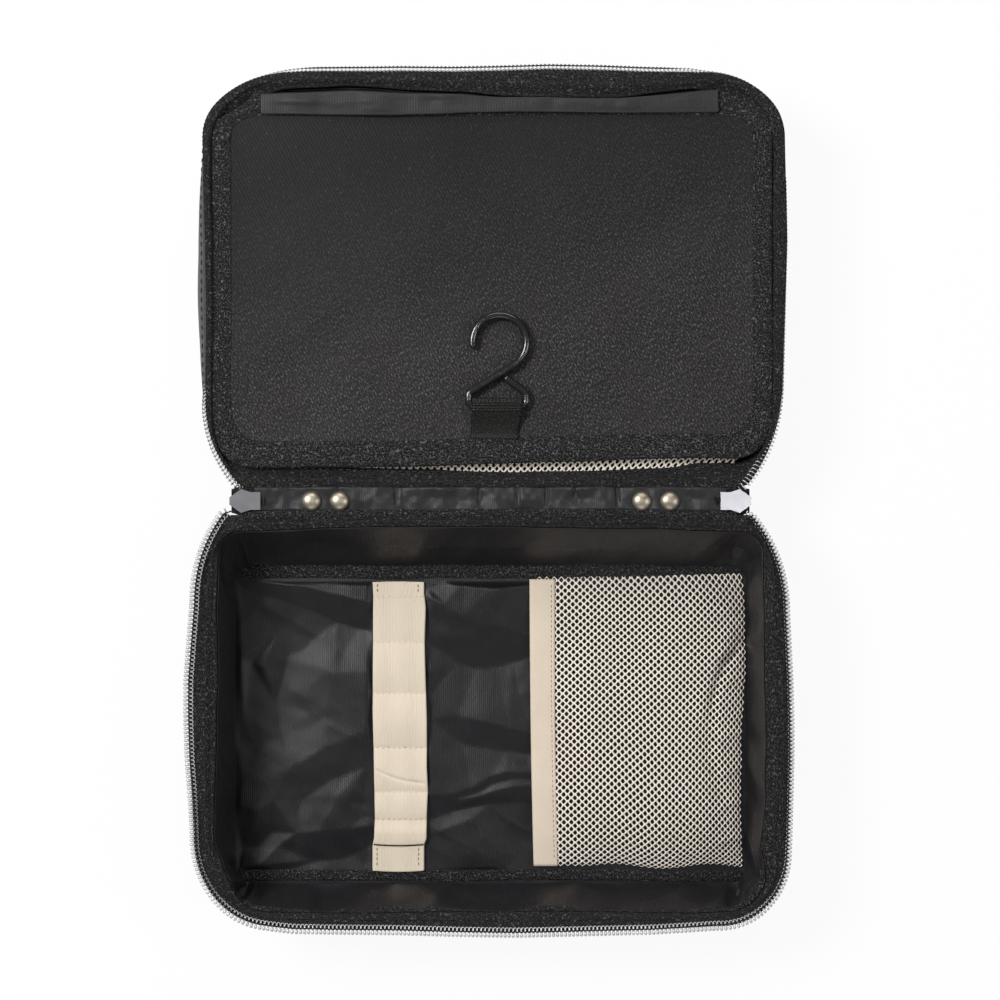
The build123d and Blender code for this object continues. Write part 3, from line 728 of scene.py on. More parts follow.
OUTER = coated_fabric()
NYLON = lining_nylon()
WALL_NYLON = lining_nylon("Wall nylon", level=0.0105, blue=0.0018, red=0.0015)
STRIP_NYLON = lining_nylon("Fold strip nylon", level=0.0135, blue=0.002, rough=(0.42, 0.58), reed=0.0011)
SPINE_NYLON = lining_nylon("Spine nylon", level=0.0115, blue=0.001, rough=(0.4, 0.54))
BINDING = herringbone()
# A lighter copy of the binding for the flap: painted sheen, its extra brightness standing in for the sheen that lights
# the flap's binding
FLAP_BINDING = herringbone("Flap binding", level=0.0205)
TAPE = herringbone("Zip tape", level=0.013)
TWILL = twill()
COIL = coil_finish()
ELASTIC = cream_elastic()
CREAM = cream_binding()
NET = net_yarn()
WEBBING = black_webbing()
BLACK_THREAD = sewing_thread("Black thread", grey(0.006), grey(0.02))
BROWN_THREAD = sewing_thread("Brown thread", (0.20, 0.13, 0.08, 1), (0.34, 0.24, 0.16, 1))
CREAM_THREAD = sewing_thread("Cream thread", (0.52, 0.44, 0.34, 1), (0.66, 0.57, 0.46, 1))
SLIDER_METAL = cast_metal("Slider metal", grey(0.38, 0.025), grey(0.45, 0.025), 0.29, 0.32)
RIVET_METAL = cast_metal("Rivet metal", (0.43, 0.375, 0.295, 1), (0.58, 0.52, 0.42, 1), 0.42, 0.46)
PAINT = gloss_paint()


# Walls, bindings and zips of both halves


def tape_frame(half):
    """Along the outline at the tape edge: its points, and the coil's outward and upward directions there."""
    out = lay(outward(half.tape), 0, half.side)
    tilt = half.tilt()[:, None]
    high = np.array([0.0, 0.0, 1.0])
    return (lay(half.tape, half.rim_z(), half.side), out * np.cos(tilt) + high * np.sin(tilt),
            high * np.cos(tilt) - out * np.sin(tilt))


def zip_run(half, *tracks):
    """The part of each track that follows the zip, from the slider on the right round to the one on the left."""
    first = RUN_LONG + int(np.argmax(half.tape[RUN_LONG:RUN_LONG + RUN_TURN, 1] > ZIP_NEAR))
    last = RING - int(np.argmax(half.tape[::-1][:RUN_TURN, 1] > ZIP_NEAR))
    return [t[first - 1:last + 1 if last < RING else last] for t in tracks]


def between(track, at):
    """The rows of a track at places between its points."""
    return np.stack([np.interp(at, np.arange(len(track)), column) for column in track.T], axis=1)


# One turn of the coil: across it and up, in shares of half its width and of its half height, and how far along
COIL_TURN = np.array([
    (-0.74, 0.72, 0.00), (-0.35, 0.80, 0.02), (0.10, 0.85, 0.03), (0.42, 0.90, 0.04), (0.74, 0.92, 0.05),
    (0.96, 0.5, 0.07), (0.96, -0.4, 0.10), (0.70, -0.9, 0.12), (0.0, -0.98, 0.13), (-0.80, -0.6, 0.20),
    (-1.0, 0.0, 0.52), (-0.94, 0.55, 0.86)]) * [COIL_WIDTH / 2, COIL_HALF_HEIGHT, 1]
# How thick the wire is along that turn, by the half's side. The base's zip stands up and shows its broad heads.
COIL_THICK = {
    -1: COIL_WIRE * np.array([0.65, 0.65, 0.8, 1.5, 2.0, 2.05, 1.9, 1.4, 0.9, 0.65, 0.65, 0.65]),
    1: COIL_WIRE * np.array([0.68, 0.65, 0.7, 0.85, 1.2, 1.25, 1.1, 0.9, 0.7, 0.65, 0.65, 0.68]),
}


def make_coil(half):
    """The zip's coil along the edge of the tape, and the cord that holds it."""
    edge, out, high, away = zip_run(half, *tape_frame(half), lay(outward(half.tape), 0, half.side))
    if half.side > 0:
        # The lid's zip hangs over the rim, and goes under it along the left and at the right far corner
        x, v = edge[:, 0], edge[:, 1]
        left = np.exp(-((v - 86) / 40.0) ** 8) * smooth((-100 - x) / 8)
        right = smooth((v - 130) / 5) * smooth((160 - v) / 5) * smooth((x - 96) / 6)
        far_left = 0.5 * smooth((v - 110) / 10) * smooth((-70 - x) / 25)
        all_right = 0.45 * smooth((x - 80) / 10)
        hidden = np.max([left, right, far_left, all_right], axis=0)[:, None]
        edge = edge - hidden * (away * 1.9 + np.array([0.0, 0.0, 1.2]))
    start, end = (edge[i] + unit(edge[i] - edge[inner]) * 0.6 for i, inner in ((0, 1), (-1, -2)))
    edge = np.vstack([start, edge, end])
    out, high = (np.vstack([t[:1], t, t[-1:]]) for t in (out, high))
    track = spaced(np.hstack([edge, out, high]), COIL_PITCH)
    turns = len(track) - 1
    w, h = COIL_WIDTH / 2, COIL_HALF_HEIGHT
    spot = between(track, (np.arange(turns)[:, None] + COIL_TURN[None, :, 2]).ravel())
    reach = np.tile(COIL_TURN[:, 0], turns)[:, None] + w - 0.2
    rise = np.tile(COIL_TURN[:, 1], turns)[:, None] + 0.15
    path = spot[:, :3] + unit(spot[:, 3:6]) * reach + unit(spot[:, 6:9]) * rise
    from_end = np.minimum(np.arange(len(path)), np.arange(len(path))[::-1])
    wire = np.tile(COIL_THICK[half.side], turns) * (0.45 + 0.55 * smooth(from_end / 16 - 0.2))
    ob = piece(half.name + "_Zip_Coil", tube(path, wire), COIL, half.body)
    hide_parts(half.body + "_zip_chain")
    # The cord that holds the coil, sewn along its top with small lock stitches
    t = np.arange(len(track) * 4) / 4
    spot = between(track, t)
    wobble = (0.08 * np.cos(t * math.tau))[:, None]
    cord = spot[:, :3] + unit(spot[:, 3:6]) * (0.98 * w - 0.2 + wobble) + unit(spot[:, 6:9]) * (h + 0.36 + wobble)
    width = 0.32 + 0.06 * np.cos(t * math.tau)
    if half.side > 0:
        width = width * (0.3 + 0.7 * smooth((80 - np.abs(cord[:, 0])) / 10) * smooth((cord[:, 1] - 100) / 20))
    piece(half.name + "_Zip_Cord", tube(cord, width), BLACK_THREAD, half.body)


# Raised lines and seams along the rim's band: height, place across the band and width
RIM_RIDGES = [(0.22, 0.05, 0.05), (-0.2, 0.14, 0.02), (0.12, 0.33, 0.05), (-0.12, 0.26, 0.02)]


def make_rim(half):
    """The zip tape with the edge binding over it, one closed band round the half. Gives the band's inner edge."""
    edge, out, high = tape_frame(half)
    inner = half.inner + outward(half.inner) * (0.55 * cloud(lay(half.inner, 0, 1), 34, 3)
                                                 + 0.35 * cloud(lay(half.inner, 0, 1), 13, 4))[:, None]
    along = run_along(inner)
    levels = np.r_[-0.02, 0.0, np.linspace(0.03, 0.53, 15), 0.545, 0.57, np.linspace(0.62, 1.0, 9)]
    rows, under = [], []
    for t in levels:
        flat = inner + (half.tape - inner) * max(t, 0.0)
        if half.side < 0:
            rise = max(t, 0.0) ** 0.9
        else:
            top = smooth((inner[:, 1] - 156) / 7) * smooth((92 - np.abs(inner[:, 0])) / 7)
            rise = 0.32 * min(max(t, 0.0) / 0.5, 1) + 0.68 * smooth((t - 0.48) / 0.2)
            rise = rise + top * (0.6 + 0.4 * smooth(t / 0.6) - rise)
        z = half.low + (edge[:, 2] - half.low) * rise
        z = z + 0.5 * np.sin(np.pi * np.clip(t, 0, 1)) + smooth((0.55 - t) / 0.04) * 0.42
        for height, at, width in RIM_RIDGES:
            z = z + height * math.exp(-((t - at) / width) ** 2)
        row = lay(flat, z, half.side)
        across = np.stack([along * 0.22, 0 * along + t * 9, 0 * along], axis=1)
        held = math.sin(math.pi * min(max(t, 0.08), 1.0))
        ends = 0.42 + 0.3 * smooth((26 - inner[:, 1]) / 8) * (half.side < 0)
        row[:, 2] += (0.3 * cloud(row, 8.5, 5) + ends * cloud(across, 2.4, 12, creased=True)) * held
        row[:, 2] += 0.10 * cloud(row, 3.0, 6)
        if t < 0:
            row[:, 2] -= 0.5
        rows.append(row)
        under.append(row - np.array([0, 0, 0.85]))
    for reach, drop in ((0.8, 0.25), (1.7, 0.4)):
        on = (edge[:, 1] * half.side > ZIP_NEAR)[:, None]
        row = edge + (out * reach - high * drop) * on
        rows.append(row)
        under.append(row - np.array([0, 0, 0.5]))
    ob = piece(half.name + "_Rim_Band", skin(rows + under[::-1], over=True), BINDING, half.body)
    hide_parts(half.body + "_rim_binding", half.body + "_zip_tape")
    heap = Heap()
    for at, length in ((0.14, 2.4), (0.46, 2.4), (0.86, 2.2)):
        row = rows[int(np.argmin(np.abs(levels - at)))]
        stitches(heap, np.vstack([row, row[:1]]), length=length, gap=0.9, thread=0.17)
    heap.piece(half.name + "_Rim_Stitches", BLACK_THREAD, half.body, "binding")
    return inner


def make_wall_lining(half, inner):
    """Thin nylon from under the rim's inner edge down to the floor seam, puckered where it is gathered."""
    seam = outline(-107.6, 107.6, 27.6, 161.0, 7.0, 9.0)
    along = run_along(inner)
    x, v = inner[:, 0], inner[:, 1]
    near_side = smooth((30 - v) / 12)
    far_side = smooth((v - 150) / 12)
    right_side = smooth((x - 100) / 6) * (half.side < 0)
    corner = smooth((np.abs(x) - 84) / 16) * (smooth((v - 136) / 18) + near_side)
    normal = outward(seam)
    top = inner + outward(inner) * -0.5
    rows = []
    for t in np.linspace(0, 1, 40):
        flat = top + (seam - top) * t
        z = (half.low - 0.2) + (SEAM_HEIGHT - half.low + 0.2) * t
        belly = np.sin(np.pi * t) ** 0.7
        spot = np.stack([along, np.full(len(along), t * 20.0), np.zeros(len(along))], axis=1)
        lean = spot @ np.array([[1.0, 0, 0], [0.45, 1, 0], [0, 0, 1]])
        drawn = lean * [1, 0.3, 1]
        folds = (0.7 + 2.0 * corner + 1.9 * far_side) * cloud(drawn, 14, 7, creased=True)
        folds += (0.5 + 1.8 * corner + 1.3 * far_side + 0.7 * right_side) * cloud(drawn, 6.0, 8, creased=True)
        folds += (0.35 * near_side + 0.3) * cloud(spot * [0.25, 1, 1], 9, 9, creased=True)
        folds += 0.25 * cloud(lean, 3.6, 10, creased=True)
        push = belly * (0.1 + folds * 1.8)
        flat = flat + normal * push[:, None]
        rumpled = 1.8 * belly * cloud(lean, 9, 11, creased=True) * (0.5 * near_side + 0.8 * far_side)
        rows.append(lay(flat, z + rumpled, half.side))
    back = [lay(r[:, :2] * [1, half.side] + normal * 0.35, r[:, 2] - 0.1, half.side) for r in rows]
    ob = piece(half.name + "_Wall_Lining", skin(rows + back[::-1], over=True), WALL_NYLON, half.body)
    # The base's binding is turned in over the top of the far wall
    ob.data.materials.append(BINDING)
    for face in ob.data.polygons:
        if half.side < 0 and face.center.z > (half.low - 3.2) * MM and abs(face.center.y) > 0.150:
            face.material_index = 1


def span_grid(left, right, near, far, r_near, r_far, columns, rows):
    """A grid over a rounded rectangle, each row as wide as the shape is there: x and v arrays, (rows, columns)."""
    v = near + (far - near) * (1 - np.cos(np.linspace(0, np.pi, rows))) / 2
    v = 0.35 * v + 0.65 * np.linspace(near, far, rows)
    cut_near = np.where(v < near + r_near, r_near - np.sqrt(np.maximum(r_near ** 2 - (near + r_near - v) ** 2, 0)), 0)
    cut_far = np.where(v > far - r_far, r_far - np.sqrt(np.maximum(r_far ** 2 - (v - far + r_far) ** 2, 0)), 0)
    cut = (cut_near + cut_far)[:, None]
    s = np.linspace(0, 1, columns)[None, :]
    x = (left + cut) + (right - left - 2 * cut) * s
    return x, np.repeat(v[:, None], columns, axis=1)

def fold(x, y, start, end, wide, high, lean):
    """A soft fold from start to end, steeper on its left side, dying out at both ends."""
    (x0, y0), (x1, y1) = start, end
    length = math.hypot(x1 - x0, y1 - y0)
    ux, uy = (x1 - x0) / length, (y1 - y0) / length
    t = ((x - x0) * ux + (y - y0) * uy) / length
    off = -(x - x0) * uy + (y - y0) * ux
    off = off + 0.07 * length * np.sin(np.pi * np.clip(t, 0, 1))
    width = np.where(off > 0, wide * lean, wide)
    taper = smooth((t + 0.12) / 0.3) * smooth((1.12 - t) / 0.3)
    return high * taper * np.exp(-(off / width) ** 2)


# Creases of the base's floor lining: lines of points as x, y and height above or below the seam's level
FLOOR_CREASES = [
    [(-90, -29.5, 0.3), (-62, -33, 0.8), (-52, -34, 0.9)],
    [(-106, -31, 0.3), (-100, -31.5, 0.6), (-82, -35.5, 1.3), (-62, -40, 1.9), (-52, -42.5, 1.9)],
    [(-106, -35.5, -0.4), (-99, -38.7, -0.7), (-88, -42, -1.0), (-75.6, -46, -1.4), (-64.8, -51, -1.7),
     (-56, -54, -1.7), (-50, -55.2, -1.2)],
    [(-98, -45, -0.4), (-90, -56, -1.7), (-86, -66, -2.0), (-91, -85, -2.0), (-88, -100, -1.2)],
    [(-106.5, -52, 0.6), (-105, -66, 0.9), (-101, -68.5, -0.9), (-96, -70, 0.1)],
    [(-66, -72, 0.9), (-52, -72, 1.5)],
    [(-70, -92, 0.2), (-52, -88, 1.3)],
    [(-104, -92, 0.3), (-100, -104, -0.2), (-104, -116, 0.6)],
    [(-84, -112, 0.9), (-70, -104, 1.6), (-53, -97, 1.4)],
    [(-80, -126, -0.6), (-66, -117, -0.2), (-52, -112, 0.2)],
    [(-106, -128, 1.0), (-98, -131, 1.6), (-92, -126, 0.8)],
    [(-93, -140, -1.4), (-98, -146, -1.4), (-104, -147, -0.9)],
    [(-104.5, -153, 0.5), (-97, -153, 1.3), (-90, -146, 0.4)],
    [(-82, -140, 1.0), (-72, -139, 1.7), (-60, -138, 1.5), (-53, -137, 0.8)],
    [(-64, -124, 1.4), (-60, -127, 1.2)],
    [(-55, -128, -0.8), (-54, -133, -0.4)],
    [(-74, -152, -1.3), (-62, -151, -1.6), (-56, -148, -0.9)],
    [(-26, -37, 0.2), (-12, -34.5, 1.2), (2, -34.5, 2.2), (17, -36, 1.0)],
    [(-27, -39.8, 1.6), (-19, -43.4, 1.8), (-11.8, -49, 1.7), (-4, -53, 1.4), (2, -52, 1.4), (9, -54, 1.1),
     (16, -57, 0.6)],
    [(-27, -60.5, -0.9), (-21, -63.7, -1.2), (-14.8, -68, -1.6), (-6.2, -70.8, -1.8), (2.4, -70.3, -1.6),
     (8.9, -68.2, -1.2), (16.6, -65.6, -0.7)],
    [(-27, -72, 0.4), (-26, -82, -0.4), (-26, -92, -0.6)],
    [(-14, -90, 0.2), (-4, -93, 1.2), (8, -96, 1.5), (16, -98, 1.2)],
    [(-12, -103, -0.9), (6, -106, -1.0), (16, -107, -0.8)],
    [(-26.5, -105.5, 0.8), (-19.5, -108.8, 0.5)],
    [(-26.4, -124.6, 0.8), (-17, -123.8, 1.0), (-8.3, -121.6, 1.3), (0.3, -116.2, 1.6), (6.7, -114.0, 1.7),
     (17, -114.6, 1.4)],
    [(-14, -125.0, 0.6), (-6, -123.6, 0.3), (1, -119.2, 0.2), (9, -117.2, 0.2), (17, -117.4, 0.2)],
    [(-12.6, -126.4, 1.2), (0.3, -122.8, 1.7), (8.9, -120.6, 1.8), (17, -120, 1.5)],
    [(-26, -135, -0.9), (-15, -130.5, -1.2), (0, -127.5, -1.5), (10, -126.5, -1.5), (17, -127, -1.3)],
    [(-22, -139, 0.3), (-8, -134, 1.0), (-3, -141, 0.8), (3, -148, 0.3)],
    [(6, -138, -1.2), (15, -143, -1.5), (11, -150, -1.0)],
]

# Where the floor is held level with its seam, and so the corners of the facets, apart from the creases
FLOOR_HELD = [(x, y, 0.0) for x in (-110, -54, 0, 54, 110) for y in (-26.5, -162.5)]
FLOOR_HELD += [(x, y, 0.0) for x in (-110, 110) for y in (-60, -95, -130)]
FLOOR_HELD += [(60, -60, 0.3), (60, -95, 0.0), (60, -130, 0.3)]


def creased(x, y, chains):
    """Heights over a grid from lines of creases joined by flat facets, the creases then rounded a little."""
    points = list(FLOOR_HELD)
    edges = []
    for chain in chains:
        edges += [(len(points) + i, len(points) + i + 1) for i in range(len(chain) - 1)]
        points += chain
    heights = np.array([p[2] for p in points])
    spots, _, faces, origins, _, _ = delaunay_2d_cdt([Vector(p[:2]) for p in points], edges, [], 0, 1e-4)
    at = np.array([[v.x, v.y] for v in spots])
    high = np.array([heights[o[0]] if o else 0.0 for o in origins])
    z = np.zeros(x.shape)
    for i, j, k in faces:
        (ax, ay), (bx, by), (cx, cy) = at[i], at[j], at[k]
        size = (bx - ax) * (cy - ay) - (cx - ax) * (by - ay)
        if abs(size) < 1e-9:
            continue
        p = ((bx - x) * (cy - y) - (cx - x) * (by - y)) / size
        q = ((cx - x) * (ay - y) - (ax - x) * (cy - y)) / size
        inside = (p >= -1e-6) & (q >= -1e-6) & (p + q <= 1 + 1e-6)
        z = np.where(inside, p * high[i] + q * high[j] + (1 - p - q) * high[k], z)
    z[1:-1, 1:-1] = 0.4 * z[1:-1, 1:-1] + 0.15 * (z[:-2, 1:-1] + z[2:, 1:-1] + z[1:-1, :-2] + z[1:-1, 2:])
    return z


# The bound seams between the floor and the walls: their cross-section in shares of their width, and millimetres up
SEAM_PROFILE = [(-0.5, -0.5), (-0.5, 0.25), (-0.42, 0.62), (-0.2, 0.75), (0.0, 0.7), (0.2, 0.75), (0.42, 0.62),
                (0.5, 0.25), (0.5, -0.5)]


def make_floor_lining(half):
    """Satin nylon sewn along its four sides and loose between, so it lies in soft diagonal folds."""
    near, far = 27.4, 161.4
    x, v = span_grid(-108.2, 108.2, near, far, 7.0, 9.0, 280, 180)
    y = half.side * v
    spot = np.stack([x.ravel(), y.ravel(), np.zeros(x.size)], axis=1)
    skew = spot @ np.array([[0.88, 0.47, 0], [-0.47, 0.88, 0], [0, 0, 1]])
    z = 0.22 * cloud(skew * [0.5, 1, 1], 17, 20 + half.side) + 0.12 * cloud(skew * [0.6, 1.2, 1], 6, 23)
    z += 0.16 * (1 - np.abs(cloud(skew * [0.35, 1, 1], 15, 26 + half.side))) ** 4
    z += 0.45 * cloud(skew * [0.7, 1, 1], 12, 28, creased=True) + 0.16 * cloud(skew, 5, 29, creased=True)
    z = z.reshape(x.shape)
    if half.side < 0:
        z = z + (1.12 - 0.4 * smooth((v - 84) / 22)) * creased(x, y, FLOOR_CREASES)
        under_band = smooth((x + 52.5) / 3) * smooth((-25 - x) / 3)
        z = z * (1 - 0.7 * under_band) * (1 - 0.6 * smooth((x - 20) / 10))
    border = np.minimum(np.minimum(x - x[:, :1], x[:, -1:] - x), np.minimum(v - near, far - v))
    z = FLOOR_HEIGHT + np.clip(z, -2.4, 0.1 + 3.0 * smooth((v - 33.2) / 5) * smooth((155.6 - v) / 4)) * smooth(
        border / 3.0)
    ob = sheet(half.name + "_Floor_Lining", np.stack([x, y, z], axis=2), NYLON, half.body)
    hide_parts(half.body + "_lining")
    heap = Heap()
    s = np.linspace(-105.5, 105.5, 240)
    for at, width in ((29.8, 6.0), (158.0, 4.6)):
        wave = 0.9 * noise(s, at, 30, 31) + 0.3 * noise(s, at, 9, 32)
        rows = []
        for across, up in SEAM_PROFILE:
            rough = cloud(np.stack([s, 0 * s + across * 4, 0 * s + at], 1), 4, 33)
            rows.append(np.stack([s, half.side * (at + wave + across * width), 6.0 + up + 0.12 * rough], axis=1))
        heap.add(skin(rows, around=False, over=True))
    ob = heap.piece(half.name + "_Floor_Seam_Binding", BINDING, half.body, "binding")
    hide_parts(half.body + "_floor_binding")


# Rows of points of the outer cover, from the middle of its lower panel out and up to its rim
PANEL_SHARES = (0.02, 0.2, 0.42, 0.62, 0.78, 0.88, 0.94, 0.975)
WALL_HEIGHTS = np.r_[0.0, 0.35, 1.0, 2.0, 3.2, 4.5, np.linspace(6.5, 34.0, 15)]
WALL_TOP = 34.0
EDGE_ROUND = 4.5
WELT_ROW = 10
STITCHED_ROWS = (13, 26)


def make_cover(half):
    """Padded outer walls with a rounded lower edge, and the outer panel that the half lies on."""
    rows = []
    normal = outward(half.wall)
    normals = lay(normal, 0, half.side)
    centre = half.floor.mean(0)
    for share in PANEL_SHARES:
        flat = centre + (half.floor - centre) * share
        z = PANEL_HEIGHT + 0.25 * (1 + cloud(lay(flat, 0, half.side), 26, 40)) * math.sin(math.pi * min(share, 0.9))
        rows.append(lay(flat, z, half.side))
    rim = half.tape - outward(half.tape) * 0.25
    rim[:, 1] = np.maximum(rim[:, 1], 6.2)
    rim_top = half.rim_z() - 1.2
    for h in WALL_HEIGHTS:
        t = h / WALL_TOP
        flat = half.floor + (rim - half.floor) * t ** 0.8
        round_off = EDGE_ROUND - math.sqrt(max(EDGE_ROUND ** 2 - max(EDGE_ROUND - h, 0.0) ** 2, 0.0))
        belly = math.sin(math.pi * min(t, 1.0))
        spot = lay(flat, h, half.side)
        push = -round_off * 0.9 + belly * (1.1 + 0.8 * cloud(spot * [1, 1, 0.5], 24, 41)
                                           + 0.25 * cloud(spot * [1, 1, 0.6], 9, 42))
        if half.side > 0:
            # The lid's left wall bulges out further, as it is seen beside the rim
            left = (half.wall[:, 0] < -85) * np.exp(-((half.wall[:, 1] - 82) / 66.0) ** 4)
            push = push + left * belly ** 0.8 * 5.4
        flat = flat + normal * push[:, None]
        rows.append(lay(flat, PANEL_HEIGHT + h * (rim_top - PANEL_HEIGHT) / WALL_TOP, half.side))
    under = [row - normals * 1.2 * min(1, i / 8) + np.array([0, 0, 0.9 * (i < WELT_ROW)])
             - np.array([0, 0, 3.0]) * smooth((i - 18) / 10) for i, row in enumerate(rows)]
    verts, faces, maps = skin(rows + under[::-1])
    ends = [list(range(RING)), list(range(len(verts) - RING, len(verts)))]
    maps = np.vstack([maps] + [verts[end][:, :2] for end in ends])
    ob = piece(half.name + "_Outer_Cover", (verts, faces + ends, maps), OUTER, half.body)
    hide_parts(half.body + "_shell", half.body + "_padding", half.body + "_board")
    # Welt along the lower edge, and the two rows of stitches that hold it and the zip tape
    path = rows[WELT_ROW] + normals * 0.5
    path[:, 2] = 1.75 + 0.08 * cloud(path, 20, 43)
    welt = tube(path, 1.15, sides=10, closed=True, across=(0, 0, 1))
    piece(half.name + "_Lower_Welt", welt, OUTER, half.body)
    heap = Heap()
    up = np.vstack([normals, normals[:1]])
    for at in STITCHED_ROWS:
        stitches(heap, np.vstack([rows[at], rows[at][:1]]) + up * 0.06, length=2.8, gap=1.0, thread=0.2, up=up)
    heap.piece(half.name + "_Cover_Stitches", BLACK_THREAD, half.body, "shell_fabric")


for half in (base, lid):
    inner_edge = make_rim(half)
    make_coil(half)
    make_wall_lining(half, inner_edge)
    make_cover(half)
    make_floor_lining(half)


# Things sewn to the floor of the base: the elastic band and the net pocket

# The band's stitched lines along y, the first where it starts and the last where its open loop ends, and how far
# it rises between each two
BAND_LINES = [-34.2, -40.4, -59.6, -81.1, -104.0, -122.6, -134.0, -144.4]
BAND_RISES = [0.10, 1.1, 1.6, 1.8, 1.4, 0.9, 1.5]
BROWN_LINES = (-104.0, -134.0)
BAND_END = -155.7
BAND_CORDS = 34


def band_height(x, y):
    """Top of the elastic band: loops between its stitched lines, and an open loop at its end."""
    z = np.full(np.shape(y), 7.45)
    for top, low_y, rise in zip(BAND_LINES[:-1], BAND_LINES[1:], BAND_RISES):
        t = (top - y) / (top - low_y)
        inside = (t > 0) & (t < 1)
        t = np.clip(t, 0, 1)
        shape = smooth(t / 0.55) * (1 - 0.25 * t ** 6) if low_y == BAND_LINES[-1] else np.sin(np.pi * t) ** 0.7
        z = z + inside * rise * shape
    groove = np.exp(-((y + 144.9) / 0.42) ** 4)
    z = z * (1 - groove) + 6.6 * groove
    z = z + (y < -145.3) * 0.15
    return z + fold(x, y, (-49.5, -112.6), (-27.0, -119.0), 0.7, -0.5, 1.0)


def make_brush_band():
    """The elastic band with its loops, its open end and its stitches."""
    y = np.linspace(BAND_LINES[0], BAND_END, 300)
    left = np.interp(-y, [34, 40, 88, 105, 133, 142, 145, 156],
                     [-49.8, -49.5, -49.7, -49.3, -48.8, -49.1, -49.8, -49.8])
    right = np.interp(-y, [34, 39, 45, 60, 81, 92, 112, 122, 133, 142, 145, 156],
                      [-28.0, -28.0, -27.3, -27.8, -27.2, -26.85, -26.85, -26.4, -26.9, -27.0, -28.0, -28.0])
    s = np.linspace(0, 1, BAND_CORDS * 4 + 1)
    x = left[:, None] + (right - left)[:, None] * s[None, :]
    bow = 0.25 - 0.75 * smooth((-y - 125) / 15)
    yy = y[:, None] + bow[:, None] * np.sin(np.pi * s)[None, :]
    z = band_height(x, y[:, None] + 0 * x)
    z = z + 0.10 * np.sin(np.pi * ((s * BAND_CORDS) % 1))[None, :] + 0.10 * noise(x, yy, 9, 51)
    edge = np.minimum(s, 1 - s) * (right - left)[:, None]
    z = z - 0.35 * (1 - smooth(edge / 0.5))
    top = np.stack([x, yy, z], axis=2)
    rows = np.concatenate([top, top[:, ::12][:, ::-1] - np.array([0, 0, 0.7])], axis=1)
    k, n = rows.shape[:2]
    band = capped(skin(rows), range(n), range((k - 1) * n, k * n))
    ob = piece("Brush_Band", band, ELASTIC, "base")
    # The last loop is open at its end: along its mouth the band's top takes the floor's dark nylon, which stands for
    # the floor seen in the opening and for painted shade inside the loop
    ob.data.materials.append(NYLON)
    for face in ob.data.polygons:
        x0, y0 = face.center.x / MM, face.center.y / MM
        mouth = -144.75 - 0.5 * math.sin(math.pi * min(max((x0 + 49.6) / 21.6, 0), 1))
        if abs(y0 - mouth) < 0.42 and -49.3 < x0 < -28.4 and face.normal.z > 0:
            face.material_index = 1
    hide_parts("brush_band")
    pale, brown = Heap(), Heap()
    for at in BAND_LINES[1:-1]:
        px = np.linspace(-48.3, -28.0, 60)
        py = at + 0.15 * np.sin(px)
        path = np.stack([px, py, band_height(px, py) + 0.10], axis=1)
        heap, thread = (brown, 0.10) if at in BROWN_LINES else (pale, 0.13)
        stitches(heap, path, length=1.1, gap=1.2, thread=thread)
    for at, start, end in ((-47.7, -35.0, -39.6), (-30.6, -35.0, -39.6), (-47.9, -146.0, -154.8),
                           (-30.4, -146.0, -154.8)):
        py = np.linspace(start, end, 30)
        path = np.stack([np.full(30, at), py, band_height(at + 0 * py, py) + 0.12], axis=1)
        stitches(brown, path, length=1.3, gap=0.7, thread=0.17)
    pale.piece("Brush_Band_Stitches_Pale", CREAM_THREAD, "base", "elastic")
    brown.piece("Brush_Band_Stitches_Brown", BROWN_THREAD, "base", "elastic")


# Net: diamond cells, each on a lattice of quarter cells, with a rounded hole. Knots stand higher than strands.
NET_PITCH = 3.09
NET_STRAND = 0.2
NET_KNOT = 1.25
NET_RING = np.array([(2, 0), (1, 1), (0, 2), (-1, 1), (-2, 0), (-1, -1), (0, -2), (1, -1)])
NET_HOLE = np.array([[0.82, 1.04]])


def net(name, width, length, place, body, opening=1.0):
    """Knitted net of a flat width and length, laid where place puts its flat points."""
    q = NET_PITCH / 4
    columns, lines = int(width / NET_PITCH), int(length / NET_PITCH * 2)
    cells = np.array([(4 * i + 2 * (j % 2), 2 * j) for j in range(lines) for i in range(columns)])
    unique, index = np.unique((cells[:, None, :] + NET_RING[None]).reshape(-1, 2), axis=0, return_inverse=True)
    hole = NET_RING * NET_HOLE * opening / np.array([[2, 1.6, 2, 1.6, 2, 1.6, 2, 1.6]]).T
    rim_at = place(np.stack([unique[:, 0] * q, unique[:, 1] * q], axis=1))
    holes_at = place((cells[:, None, :] * q + hole[None]).reshape(-1, 2))
    n = len(rim_at)
    up = np.zeros((n, 3))
    up[:, 2] = np.where((unique % 2 == 0).all(1), NET_KNOT, 1.0) * NET_STRAND
    a = index.reshape(len(cells), 8)
    c = (2 * n + np.arange(len(holes_at))).reshape(len(cells), 8)
    b, d = np.roll(a, -1, axis=1), np.roll(c, -1, axis=1)
    top = np.stack([a, b, d, c], axis=2).reshape(-1, 4)
    under = np.stack([b + n, a + n, c, d], axis=2).reshape(-1, 4)
    pairs = np.stack([a.ravel(), b.ravel()], axis=1)
    _, where, count = np.unique(np.sort(pairs, axis=1), axis=0, return_index=True, return_counts=True)
    first, second = pairs[where[count == 1]].T
    border = np.stack([second, first, first + n, second + n], axis=1)
    shape = np.vstack([rim_at + up, rim_at - up, holes_at]), np.vstack([top, under, border]).tolist(), None
    ob = piece(name, shape, NET, body, closed=False)
    return ob


def pocket_mouth(y):
    """Height of the pocket's bound mouth along its length."""
    t = np.clip((-33.0 - y) / 120.5, 0, 1)
    return 7.3 + 1.5 * np.sin(np.pi * t) ** 0.8 + 0.5 * np.sin(2.4 * np.pi * t + 0.4)


